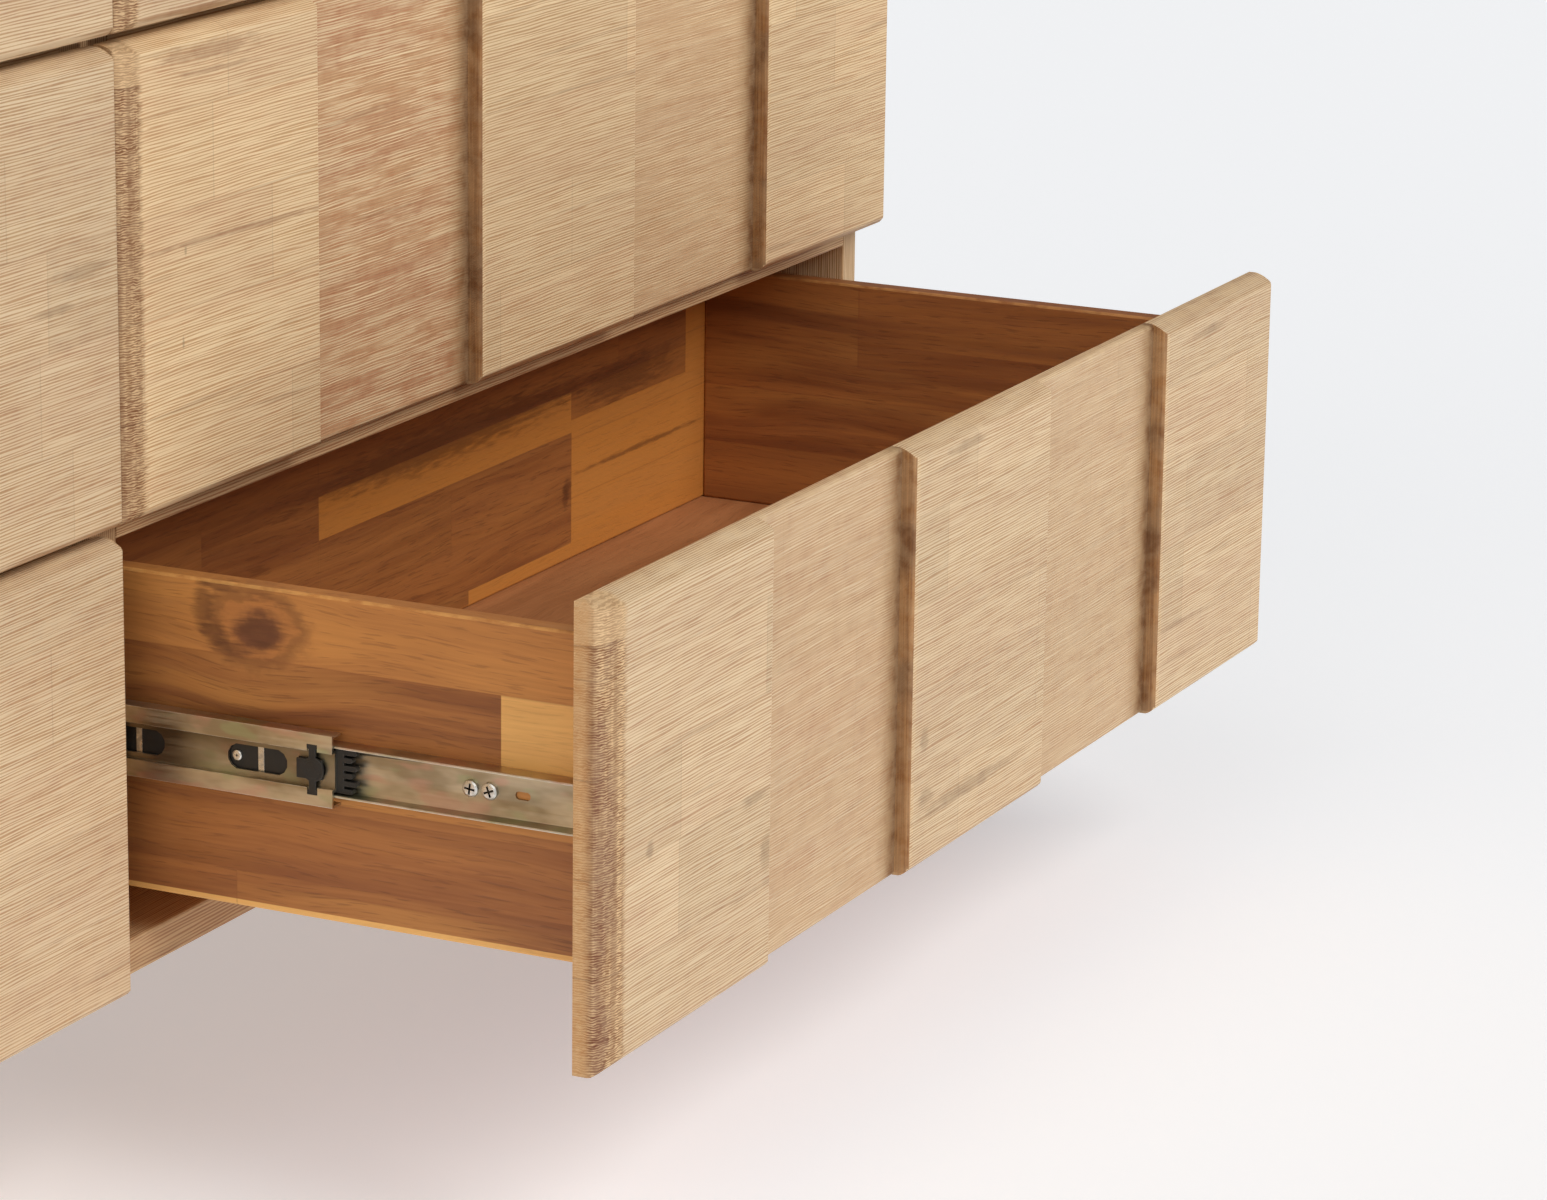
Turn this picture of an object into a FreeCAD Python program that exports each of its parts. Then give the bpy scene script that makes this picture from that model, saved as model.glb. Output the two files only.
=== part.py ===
"""Block front chest: a double chest of six drawers on five legs.

Each drawer front is one board with three raised blocks and two sunk bays.  The drawer boxes are
solid wood, lap-dovetailed at the front, and hang on full-extension ball-bearing runners.

The row frame is +Z up, +X to the right and +Y to the back.  Its origin is on the floor, under the
glide of the centre leg.  The drawers are modelled in a drawer's own frame, whose origin is the
front's lower left corner on its raised face, and are then placed in their row and column.
"""
import FreeCAD, Part
import math
import os

os.makedirs("parts", exist_ok=True)
doc = FreeCAD.newDocument("block_front_chest")
Vector = FreeCAD.Vector

# ---------------------------------------------------------------- driving dimensions
# (mm; each is one cell of the sheet and is written once)
DRIVERS = {
    # drawer front
    "left_block_width": 176,
    "middle_block_width": 172,
    "right_block_width": 162,
    "bay_width": 162.5,
    "front_height": 224,
    "bay_thickness": 6,
    "block_rise": 9,
    "end_round_length": 28,
    "end_round_depth": 5.5,
    "end_corner_radius": 4,
    "block_edge_radius": 2.5,
    "block_top_drop": 5,
    "block_bottom_bevel": 5,
    # gaps between the fronts, and from the fronts to the carcase
    "row_gap": 5,
    "column_gap": 4,
    "front_stand_off": 4,
    "top_gap": 4,
    # carcase
    "panel_thickness": 18,
    "rear_clearance": 13,
    "back_thickness": 9,
    "top_thickness": 25,
    "top_edge_bevel": 2,
    "rail_thickness": 19,
    "rail_depth": 60,
    # legs
    "leg_length": 117,
    "leg_head": 48,
    "leg_foot": 34,
    "leg_inset": 40,
    "glide_radius": 12,
    "glide_height": 3,
    # drawer box
    "box_length": 350,
    "box_height": 158,
    "box_rise": 42,
    "side_thickness": 12,
    "end_thickness": 12,
    "back_inset": 7,
    "board_thickness": 6,
    "board_rise": 11,
    "groove_depth": 6,
    "tail_length": 9,
    "tail_pitch": 26,
    "tail_width": 14,
    "tail_slope": 2,
    "slit_height": 12,
    "slit_depth": 1.5,
    # runners
    "runner_space": 12.7,
    "runner_rise": 77,
    "runner_setback": 9,
    "runner_sheet": 1.2,
    "runner_clearance": 0.3,
    "drawer_member_height": 25,
    "carriage_height": 35,
    "carriage_shortfall": 10,
    "carriage_reach": 8,
    "carriage_band": 7.5,
    "carriage_sink": 2.5,
    "cabinet_member_height": 45,
    "cabinet_member_reach": 8.2,
    "carriage_slot_length": 32.6,
    "carriage_slot_width": 12.7,
    "carriage_slot_start": 25.4,
    "carriage_slot_pitch": 67,
    "member_slot_length": 8,
    "member_slot_width": 4,
    "member_slot_start": 37.5,
    # screws and bumpers
    "screw_head_radius": 4.2,
    "screw_head_height": 2,
    "screw_start": 58.5,
    "screw_pitch": 10,
    "cabinet_screw_inset": 45,
    "bumper_width": 21.5,
    "bumper_length": 29,
    "bumper_overhang": 11,
    "bumper_thickness": 3.4,
    "star_centre": 10.8,
    "star_arm_width": 5.5,
    "star_arm_length": 24.5,
    "star_hub_length": 14.5,
    "star_hub_height": 10,
    "star_hub_radius": 6,
    # how far the lower right drawer stands open at rest
    "drawer_open": 247.4,
}

# sizes that follow from the ones above
DERIVED = {
    "front_width": "left_block_width + bay_width + middle_block_width + bay_width + right_block_width",
    "front_thickness": "bay_thickness + block_rise",
    "row_pitch": "front_height + row_gap",
    "leg_height": "leg_length + glide_height",
    "half_width": "column_gap / 2 + front_width",
    "carcase_front": "front_thickness + front_stand_off",
    "runner_length": "box_length",
    "carriage_length": "runner_length - carriage_shortfall",
    "interior_depth": "runner_setback + runner_length + rear_clearance",
    "carcase_depth": "interior_depth + back_thickness",
    "chest_depth": "carcase_front + carcase_depth",
    "front_face": "-chest_depth / 2",
    "fronts_height": "3 * front_height + 2 * row_gap",
    "carcase_height": "fronts_height + top_gap",
    "partition_half": "panel_thickness + column_gap / 2",
    "bay_half": "half_width - panel_thickness",
    "box_left": "panel_thickness + runner_space",
    "box_width": "front_width - 2 * box_left",
    "box_inner_left": "box_left + side_thickness",
    "box_inner_width": "box_width - 2 * side_thickness",
    "board_left": "box_inner_left - groove_depth",
    "back_front_face": "front_thickness + box_length - back_inset - end_thickness",
    "runner_centre": "box_rise + runner_rise",
    "cabinet_member_start": "carcase_front + runner_setback",
    "band_outer": "runner_space - runner_sheet - runner_clearance",
    "band_inner": "band_outer - runner_sheet",
    "web_outer": "band_outer - carriage_sink",
    "web_inner": "web_outer - runner_sheet",
    "member_reach": "band_inner - runner_clearance",
}

# sides of the polygons that stand for small round forms
ROUND_SIDES = 12
HEAD_SIDES = 8

sheet = doc.addObject("Spreadsheet::Sheet", "sizes")


def fill_sheet():
    """Write the driving dimensions, and the formulas that follow from them, into the sheet."""
    row = 0
    for alias, value in DRIVERS.items():
        row += 1
        sheet.set("A%d" % row, alias)
        sheet.set("B%d" % row, str(value))
        sheet.setAlias("B%d" % row, alias)
    for alias, formula in DERIVED.items():
        row += 1
        sheet.set("A%d" % row, alias)
        sheet.set("B%d" % row, "=" + formula)
        sheet.setAlias("B%d" % row, alias)
    doc.recompute()


fill_sheet()


def size(alias):
    """The value of one cell, in mm."""
    return float(sheet.get(alias))


def bind(obj, **formulas):
    """Bind properties to formulas over the sheet; x, y and z are the placement's base."""
    words = sorted(list(DRIVERS) + list(DERIVED), key=len, reverse=True)
    for prop, formula in formulas.items():
        for word in words:
            formula = replace_word(formula, word)
        path = {"x": "Placement.Base.x", "y": "Placement.Base.y", "z": "Placement.Base.z"}.get(prop, prop)
        obj.setExpression(path, formula)
    return obj


def replace_word(formula, word):
    """Put the sheet's name before a cell's alias wherever it stands as a whole word."""
    out, at = "", 0
    while True:
        found = formula.find(word, at)
        if found < 0:
            return out + formula[at:]
        before = formula[found - 1] if found else " "
        after = formula[found + len(word)] if found + len(word) < len(formula) else " "
        whole = not (before.isalnum() or before in "_.") and not (after.isalnum() or after == "_")
        out += formula[at:found] + ("sizes." if whole else "") + word
        at = found + len(word)


# ---------------------------------------------------------------- building blocks

def block(name, length, width, height, x, y, z):
    """A board: a box whose three sizes and place are formulas over the sheet."""
    box = doc.addObject("Part::Box", name)
    return bind(box, Length=length, Width=width, Height=height, x=x, y=y, z=z)


def cut(name, base, *tools):
    """The base less each tool."""
    for number, tool in enumerate(tools):
        last = number == len(tools) - 1
        result = doc.addObject("Part::Cut", name if last else "%s_less_%s" % (name, tool.Name))
        result.Base = base
        result.Tool = tool
        base = result
    return base


def group(name, *members):
    """Separate solids that share one node."""
    compound = doc.addObject("Part::Compound", name)
    compound.Links = list(members)
    return compound


def feature(name, shape):
    """A form that the primitives do not give, worked out from the sheet's values."""
    obj = doc.addObject("Part::Feature", name)
    obj.Shape = shape
    return obj


def prism(points, direction):
    """A closed polygon, pushed along a direction."""
    return Part.Face(Part.makePolygon(points + [points[0]])).extrude(direction)


def obround(start, end, radius, across, reach, sides=ROUND_SIDES):
    """A bar across the runner with round ends, from start to end (y, z); a disc if they meet.

    It begins at x = across and runs for reach along X, which may be negative.
    """
    points = []
    for number in range(sides):
        angle = 2 * math.pi * (number + 0.5) / sides
        centre = end if math.cos(angle) > 0 else start
        points.append(Vector(across, centre[0] + radius * math.cos(angle),
                             centre[1] + radius * math.sin(angle)))
    return prism(points, Vector(reach, 0, 0))


# ---------------------------------------------------------------- the block front

def front_plan():
    """The front in plan: back edge, long round on the left, and the steps of blocks and bays."""
    width, thickness = size("front_width"), size("front_thickness")
    rise, edge = size("block_rise"), size("block_edge_radius")
    reach, depth, corner = size("end_round_length"), size("end_round_depth"), size("end_corner_radius")
    edges = []

    def line(start, end):
        edges.append(Part.LineSegment(Vector(*start, 0), Vector(*end, 0)).toShape())

    def arc(centre, radius, start, end):
        """The shorter arc between two points, given its centre."""
        middle = (Vector(*start, 0) + Vector(*end, 0)) / 2 - Vector(*centre, 0)
        middle = Vector(*centre, 0) + middle.normalize() * radius
        edges.append(Part.Arc(Vector(*start, 0), middle, Vector(*end, 0)).toShape())

    def left_round():
        """A full corner arc that runs on into a long shallow one, tangent to it and to the face."""
        shallow = (reach ** 2 - 2 * reach * corner + depth ** 2) / (2 * (depth - corner))
        small, large = (corner, depth), (reach, shallow)
        along = math.hypot(small[0] - large[0], small[1] - large[1])
        joint = (small[0] + (small[0] - large[0]) * corner / along,
                 small[1] + (small[1] - large[1]) * corner / along)

        arc(small, corner, (0, depth), joint)
        arc(large, shallow, joint, (reach, 0))

    def step(x, towards_block):
        """One step: the bay's floor, the block's cheek and its rounded arris."""
        face = (x + edge * towards_block, 0)
        arc((face[0], edge), edge, face, (x, edge))
        line((x, edge), (x, rise))

    first_end = size("left_block_width")
    middle_start = first_end + size("bay_width")
    middle_end = middle_start + size("middle_block_width")
    last_start = middle_end + size("bay_width")
    line((0, depth), (0, thickness))
    line((0, thickness), (width, thickness))
    line((width, thickness), (width, edge))
    arc((width - edge, edge), edge, (width - edge, 0), (width, edge))
    left_round()
    line((reach, 0), (first_end - edge, 0))
    step(first_end, -1)
    line((first_end, rise), (middle_start, rise))
    step(middle_start, 1)
    line((middle_start + edge, 0), (middle_end - edge, 0))
    step(middle_end, -1)
    line((middle_end, rise), (last_start, rise))
    step(last_start, 1)
    line((last_start + edge, 0), (width - edge, 0))
    return Part.Face(Part.Wire(Part.__sortEdges__(edges)))


def block_front():
    """The front board: its plan pushed up, the blocks sloped at the top and bevelled below."""
    height, rise = size("front_height"), size("block_rise")
    drop, bevel = size("block_top_drop"), size("block_bottom_bevel")
    length = Vector(size("front_width") + 2, 0, 0)
    slope = drop / rise
    board = front_plan().extrude(Vector(0, 0, height))
    top = prism([Vector(-1, rise, height), Vector(-1, -1, height - drop - slope),
                 Vector(-1, -1, height + 1), Vector(-1, rise, height + 1)], length)
    bottom = prism([Vector(-1, -1, bevel + 1), Vector(-1, bevel + 1, -1), Vector(-1, -1, -1)], length)
    return feature("block_front", board.cut(top).cut(bottom).removeSplitter())


# ---------------------------------------------------------------- the drawer box

def tailed_board():
    """The box front: a board with a row of dovetails at each end."""
    left, right = size("box_inner_left"), size("box_inner_left") + size("box_inner_width")
    low, high = size("box_rise"), size("box_rise") + size("box_height")
    length, width, slope = size("tail_length"), size("tail_width"), size("tail_slope")
    pitch = size("tail_pitch")
    count = int(size("box_height") // pitch) - 1
    first = (low + high - (count - 1) * pitch) / 2
    y = size("front_thickness")
    points = [Vector(left, y, low), Vector(right, y, low)]
    for number in range(count):
        z = first + number * pitch
        points += [Vector(right, y, z - width / 2 + slope), Vector(right + length, y, z - width / 2),
                   Vector(right + length, y, z + width / 2), Vector(right, y, z + width / 2 - slope)]
    points += [Vector(right, y, high), Vector(left, y, high)]
    for number in reversed(range(count)):
        z = first + number * pitch
        points += [Vector(left, y, z + width / 2 - slope), Vector(left - length, y, z + width / 2),
                   Vector(left - length, y, z - width / 2), Vector(left, y, z - width / 2 + slope)]
    return feature("tailed_board", prism(points, Vector(0, size("end_thickness"), 0)))


def slits():
    """The short slits that the dovetail sockets leave in the side's lap, both sides at once."""
    pitch = size("tail_pitch")
    count = int(size("box_height") // pitch) - 1
    first = size("box_rise") + (size("box_height") - (count - 1) * pitch - size("slit_height")) / 2
    bars = []
    for number in range(count):
        bar = Part.makeBox(size("box_width") + 2, size("slit_depth") + 1, size("slit_height"))
        bar.translate(Vector(size("box_left") - 1, size("front_thickness") - 1, first + number * pitch))
        bars.append(bar)
    return feature("slits", Part.makeCompound(bars))


def drawer_box():
    """The four walls and the bottom board of one drawer box, in the drawer's frame."""
    board = block("board", "box_inner_width + 2 * groove_depth",
                  "back_front_face - front_thickness - end_thickness + 2 * groove_depth",
                  "board_thickness", "board_left", "front_thickness + end_thickness - groove_depth",
                  "box_rise + board_rise")
    tails = tailed_board()
    back_blank = block("back_blank", "box_inner_width + 2 * groove_depth", "end_thickness", "box_height",
                       "board_left", "back_front_face", "box_rise")
    box_front = cut("box_front", tails, board)
    box_back = cut("box_back", back_blank, board)
    lap_slits = slits()
    sides = []
    for name, x in (("inner", "box_left"), ("outer", "box_left + box_width - side_thickness")):
        blank = block("%s_side_blank" % name, "side_thickness", "box_length", "box_height",
                      x, "front_thickness", "box_rise")
        sides.append(cut("%s_side" % name, blank, tails, back_blank, board, lap_slits))
    return sides[0], sides[1], group("box_ends", box_front, box_back), board


# ---------------------------------------------------------------- the runners

def mirrored(name, source):
    """The same piece on the drawer's other side."""
    mirror = doc.addObject("Part::Mirroring", name)
    mirror.Source = source
    mirror.Normal = Vector(1, 0, 0)
    mirror.setExpression("Base.x", "sizes.front_width / 2")
    return mirror


def section(name, outline, start, length):
    """A rolled section: its outline across the runner, pushed along it.

    The outline's first number runs from the drawer side (0) to the carcase, the second is the
    height over the runner's centre line.
    """
    left, centre = size("box_left"), size("runner_centre")
    points = [Vector(left - across, start, centre + up) for across, up in outline]
    return feature(name, prism(points, Vector(0, length, 0)))


def slot_cutter(name, start, length, width):
    """A round-ended slot through a member's web, at a distance behind the member's front end."""
    radius = size(width) / 2
    centre = size("runner_centre")
    reach = size("runner_space") + 2
    return feature(name, obround((start + radius, centre), (start + size(length) - radius, centre),
                                 radius, size("box_left") + 1, -reach))


def channel(name, height, near, far, web_side, start, length):
    """A plain channel: a web with two flanges that reach from it across the runner."""
    sheet_metal, half = size("runner_sheet"), size(height) / 2
    web_inner = near + sheet_metal if web_side == "near" else far - sheet_metal
    back, tip = (near, far) if web_side == "near" else (far, near)
    outline = [(back, half), (tip, half), (tip, half - sheet_metal), (web_inner, half - sheet_metal),
               (web_inner, sheet_metal - half), (tip, sheet_metal - half), (tip, -half), (back, -half)]
    return section(name, outline, start, length)


def screw_heads(name, seat, outward, places):
    """Pan heads on a web: seat is where they lie across the runner, outward (1 or -1) their side."""
    centre = size("runner_centre")
    heads = [obround((y, centre), (y, centre), size("screw_head_radius"), size("box_left") - seat,
                     -outward * size("screw_head_height"), HEAD_SIDES) for y in places]
    return feature(name, Part.makeCompound(heads))


def drawer_member():
    """The member that is screwed to the drawer side, with its slots and screws."""
    start = size("front_thickness")
    blank = channel("member_blank", "drawer_member_height", 0, size("member_reach"), "near",
                    start, size("runner_length"))
    front_slot = slot_cutter("member_front_slot", start + size("member_slot_start"),
                             "member_slot_length", "member_slot_width")
    rear_start = start + size("runner_length") - size("member_slot_start") - size("member_slot_length")
    rear_slot = slot_cutter("member_rear_slot", rear_start, "member_slot_length", "member_slot_width")
    member = cut("drawer_member", blank, front_slot, rear_slot)
    first = start + size("screw_start")
    screws = screw_heads("member_screws", size("runner_sheet"), 1, [first, first + size("screw_pitch")])
    return member, screws


def bumper():
    """The plastic bumper in the carriage's mouth, with the star that holds it, flush with the bands."""
    left, centre = size("box_left"), size("runner_centre")
    start = size("cabinet_member_start")
    inner = size("web_inner")
    half, overhang = size("bumper_width") / 2, size("bumper_overhang")
    pad = Part.makeBox(size("bumper_thickness"), size("bumper_length"), 2 * half,
                       Vector(left - inner, start - overhang, centre - half))
    y = start + size("star_centre")
    face = left - size("band_outer")
    depth = size("band_outer") - inner
    # the arms are as thin as the bands, so that they clear the drawer member's flanges
    arm = Part.makeBox(size("runner_sheet"), size("star_arm_width"), size("star_arm_length"),
                       Vector(face, y - size("star_arm_width") / 2, centre - size("star_arm_length") / 2))
    lug = Part.makeBox(depth, size("star_hub_length") - size("star_hub_radius"), size("star_hub_height"),
                       Vector(face, y, centre - size("star_hub_height") / 2))
    hub = obround((y, centre), (y, centre), size("star_hub_radius"), face, depth)
    return feature("bumper", pad.multiFuse([arm, lug, hub]).removeSplitter())


def carriage(stop):
    """The intermediate member: a sunk web between two bands, with flanges towards the drawer."""
    metal, half = size("runner_sheet"), size("carriage_height") / 2
    band_outer, band_inner = size("band_outer"), size("band_inner")
    web_outer, web_inner = size("web_outer"), size("web_inner")
    tip = band_outer - size("carriage_reach")
    band = half - size("carriage_band")
    upper = [(tip, half), (band_outer, half), (band_outer, band - metal), (web_outer, band - metal)]
    inside = [(web_inner, band), (band_inner, band), (band_inner, half - metal), (tip, half - metal)]
    outline = upper + [(across, -up) for across, up in reversed(upper)]
    outline += [(across, -up) for across, up in reversed(inside)] + inside
    start = size("cabinet_member_start")
    blank = section("carriage_blank", outline, start, size("carriage_length"))
    first = start + size("carriage_slot_start")
    slots = [slot_cutter("carriage_slot_%d" % number, first + number * size("carriage_slot_pitch"),
                         "carriage_slot_length", "carriage_slot_width") for number in range(2)]
    return cut("carriage", blank, stop, *slots)


def cabinet_member():
    """The member that is screwed to the carcase, and its screws."""
    start, length = size("cabinet_member_start"), size("runner_length")
    space = size("runner_space")
    member = channel("cabinet_member", "cabinet_member_height", space - size("cabinet_member_reach"),
                     space, "far", start, length)
    inset = size("cabinet_screw_inset")
    screws = screw_heads("cabinet_member_screws", space - size("runner_sheet"), -1,
                         [start + inset, start + length - inset])
    return member, screws


# ---------------------------------------------------------------- the masters of one drawer
front = block_front()
inner_side, outer_side, box_ends, board = drawer_box()
member, member_screws = drawer_member()
stop = bumper()
carriage_inner = carriage(stop)
cabinet_runner, cabinet_screw = cabinet_member()


def pair(name, *pieces):
    """A node's solids on both sides of the drawer."""
    others = [mirrored("%s_outer" % piece.Name, piece) for piece in pieces]
    return group(name, *pieces, *others)


masters = {
    "front": front,
    "side_inner": inner_side,
    "side_outer": outer_side,
    "box_ends": box_ends,
    "bottom_board": board,
    "runners": pair("runners", member, member_screws),
    "carriages": pair("carriages", carriage_inner),
    "bumpers": pair("bumpers", stop),
}
cabinet_pair = pair("cabinet_pair", cabinet_runner)
cabinet_screw_pair = pair("cabinet_screw_pair", cabinet_screw)
doc.recompute()

# ---------------------------------------------------------------- drawers in their rows and columns
nodes = {}
ROWS = ("bottom", "middle", "top")
COLUMNS = ("left", "right")
OPEN_AT_REST = ("bottom", "right")
CARRIAGE_PIECES = ("carriages", "bumpers")


def placed(name, master, row, column, forward):
    """A master's shape in its row and column, moved forward by a formula over the sheet.

    All fronts are alike.  What is behind them is mirrored, so that it keeps its inner and outer side.
    """
    shape = Part.makeCompound([master.Shape])
    across = "column_gap / 2"
    if column == "left" and master is front:
        across = "-(column_gap / 2 + front_width)"
    elif column == "left":
        shape = shape.mirror(Vector(0, 0, 0), Vector(1, 0, 0))
        across = "-column_gap / 2"
    obj = feature(name, shape)
    return bind(obj, x=across, y="front_face - %s" % forward,
                z="leg_height + %d * row_pitch" % ROWS.index(row))


for row in ROWS:
    for column in COLUMNS:
        is_open = (row, column) == OPEN_AT_REST
        for piece, master in masters.items():
            forward = "0"
            if is_open:
                forward = "drawer_open / 2" if piece in CARRIAGE_PIECES else "drawer_open"
            node = "%s_%s_%s" % (row, column, piece)
            nodes[node] = placed(node, master, row, column, forward)

# ---------------------------------------------------------------- carcase

def side_panel(name, x):
    """A side panel, from the fronts' lower edge to the top panel."""
    return block(name, "panel_thickness", "carcase_depth", "carcase_height", x,
                 "front_face + carcase_front", "leg_height")


def partitions():
    """Two panels back to back between the columns."""
    halves = [block("partition_%s" % column, "partition_half", "interior_depth",
                    "carcase_height - panel_thickness", x, "front_face + carcase_front",
                    "leg_height + panel_thickness")
              for column, x in (("left", "-partition_half"), ("right", "0"))]
    return group("partitions", *halves)


def top_panel():
    """The top, over the fronts, with its front and end edges eased."""
    blank = block("top_blank", "2 * half_width", "chest_depth", "top_thickness", "-half_width",
                  "front_face", "leg_height + carcase_height")
    doc.recompute()
    eased = doc.addObject("Part::Chamfer", "top_panel")
    eased.Base = blank
    bevel = size("top_edge_bevel")
    back = blank.Shape.BoundBox.YMax
    front_and_ends = [number + 1 for number, edge in enumerate(blank.Shape.Edges)
                      if abs(edge.CenterOfMass.y - back) > bevel]
    eased.Edges = [(number, bevel, bevel) for number in front_and_ends]
    return eased


def back_panel():
    """The back, between the side panels."""
    return block("back_panel", "2 * bay_half", "back_thickness", "carcase_height", "-bay_half",
                 "front_face + carcase_front + interior_depth", "leg_height")


def bottom_panel():
    """The floor of the carcase, level with the fronts' lower edge."""
    return block("bottom_panel", "2 * bay_half", "interior_depth", "panel_thickness", "-bay_half",
                 "front_face + carcase_front", "leg_height")


def front_rails():
    """The cross rails behind the gaps between two rows."""
    rails = []
    for gap in (1, 2):
        for column, x in (("left", "-bay_half"), ("right", "partition_half")):
            rails.append(block("rail_%s_%d" % (column, gap), "bay_half - partition_half", "rail_depth",
                               "rail_thickness", x, "front_face + carcase_front",
                               "leg_height + %d * row_pitch - row_gap / 2 - rail_thickness / 2" % gap))
    return group("front_rails", *rails)


def leg(name, x, y):
    """A square leg that tapers evenly towards its foot, its centre line at x, y."""
    wedge = doc.addObject("Part::Wedge", name)
    return bind(wedge, Xmin="-leg_foot / 2", Zmin="-leg_foot / 2", Xmax="leg_foot / 2",
                Zmax="leg_foot / 2", X2min="-leg_head / 2", Z2min="-leg_head / 2",
                X2max="leg_head / 2", Z2max="leg_head / 2", Ymin="0", Ymax="leg_length",
                x=x, y=y, z="glide_height")


def glide(name, x, y):
    """The round glide under a leg."""
    disc = doc.addObject("Part::Prism", name)
    disc.Polygon = ROUND_SIDES
    return bind(disc, Circumradius="glide_radius", Height="glide_height", x=x, y=y, z="0")


LEG_X = {"left": "-(half_width - leg_inset)", "right": "half_width - leg_inset"}
LEG_Y = {"front": "front_face + carcase_front + leg_inset", "back": "chest_depth / 2 - leg_inset"}
corner_legs = []
glides = []
for end in LEG_Y:
    for column in LEG_X:
        corner_legs.append(leg("leg_%s_%s" % (end, column), LEG_X[column], LEG_Y[end]))
        glides.append(glide("glide_%s_%s" % (end, column), LEG_X[column], LEG_Y[end]))
centre_leg = leg("centre_leg", "0", "0")
glides.append(glide("glide_centre", "0", "0"))
# a wedge narrows along its own Y, so it is stood up
for stood in corner_legs + [centre_leg]:
    stood.Placement.Rotation = FreeCAD.Rotation(Vector(1, 0, 0), 90)
doc.recompute()


def runner_set(name, master):
    """One cabinet-side master, repeated in the six bays."""
    copies = [placed("%s_%s_%s" % (name, row, column), master, row, column, "0")
              for row in ROWS for column in COLUMNS]
    return group(name, *copies)


nodes["top_panel"] = top_panel()
nodes["side_panel_left"] = side_panel("side_panel_left", "-half_width")
nodes["side_panel_right"] = side_panel("side_panel_right", "bay_half")
nodes["partitions"] = partitions()
nodes["bottom_panel"] = bottom_panel()
nodes["back_panel"] = back_panel()
nodes["front_rails"] = front_rails()
nodes["legs"] = group("legs", *corner_legs)
nodes["centre_leg"] = centre_leg
nodes["glides"] = group("glides", *glides)
nodes["cabinet_runners"] = runner_set("cabinet_runners", cabinet_pair)
nodes["cabinet_screws"] = runner_set("cabinet_screws", cabinet_screw_pair)
doc.recompute()

# ---------------------------------------------------------------- check and write

def check_and_write():
    """Refuse a failed object or a bad solid, then write one STEP file for each node."""
    for obj in doc.Objects:
        failed = [state for state in obj.State if state in ("Invalid", "Error")]
        if failed:
            raise RuntimeError("%s is %s" % (obj.Name, failed))
    triangles = 0
    for name, obj in nodes.items():
        obj.Label = name
        shape = obj.Shape
        if shape.isNull() or not shape.isValid() or not shape.Solids:
            raise RuntimeError("%s has no valid solid" % name)
        shape.exportStep("parts/%s.step" % name)
        triangles += len(shape.tessellate(0.1)[1])
    print("%d nodes, about %d triangles" % (len(nodes), triangles))


check_and_write()
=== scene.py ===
"""Dresses the block front chest, a wide chest of drawers with one lower drawer standing open.

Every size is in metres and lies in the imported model's frame: +X runs along the chest, +Y goes
from the drawers to the back, and +Z is up.
"""

import logging
import math
from collections.abc import Callable, Iterable
from dataclasses import dataclass, field, replace
from enum import Enum

import bmesh
import bpy
from bmesh.types import BMEdge, BMesh, BMVert
from mathutils import Matrix, Vector


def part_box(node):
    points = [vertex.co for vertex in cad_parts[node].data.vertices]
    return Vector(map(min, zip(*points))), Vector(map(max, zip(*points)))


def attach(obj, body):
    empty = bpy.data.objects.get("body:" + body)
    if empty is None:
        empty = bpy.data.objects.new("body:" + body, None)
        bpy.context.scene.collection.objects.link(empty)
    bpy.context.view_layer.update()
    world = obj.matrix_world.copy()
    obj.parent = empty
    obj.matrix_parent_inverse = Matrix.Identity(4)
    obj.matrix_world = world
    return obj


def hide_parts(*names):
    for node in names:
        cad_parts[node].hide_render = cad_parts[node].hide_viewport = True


log = logging.getLogger("block_front_chest")
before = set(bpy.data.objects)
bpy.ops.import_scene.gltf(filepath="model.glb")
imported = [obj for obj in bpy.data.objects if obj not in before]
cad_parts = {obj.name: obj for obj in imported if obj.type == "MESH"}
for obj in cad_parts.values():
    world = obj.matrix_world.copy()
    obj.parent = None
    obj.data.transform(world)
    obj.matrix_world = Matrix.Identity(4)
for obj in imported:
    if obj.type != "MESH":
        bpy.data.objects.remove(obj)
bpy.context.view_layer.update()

Colour = tuple[float, float, float, float]
Point = tuple[float, float, float]
Spot = tuple[float, float]
Values = dict[str | int, object]
Material = bpy.types.Material


class Row(Enum):
    """The three rows of drawers, from the floor up."""

    BOTTOM = "bottom"
    MIDDLE = "middle"
    TOP = "top"


class Column(Enum):
    """The two columns of drawers, seen from the front."""

    LEFT = "left"
    RIGHT = "right"


class Grain(Enum):
    """Which axes of a board its grain runs along, through and across."""

    ALONG_X = ("X", "Y", "Z")
    ALONG_X_FLAT = ("X", "Z", "Y")
    ALONG_Y = ("Y", "X", "Z")
    ALONG_Z = ("Z", "X", "Y")
    ALONG_Z_FLAT = ("Z", "Y", "X")


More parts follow.
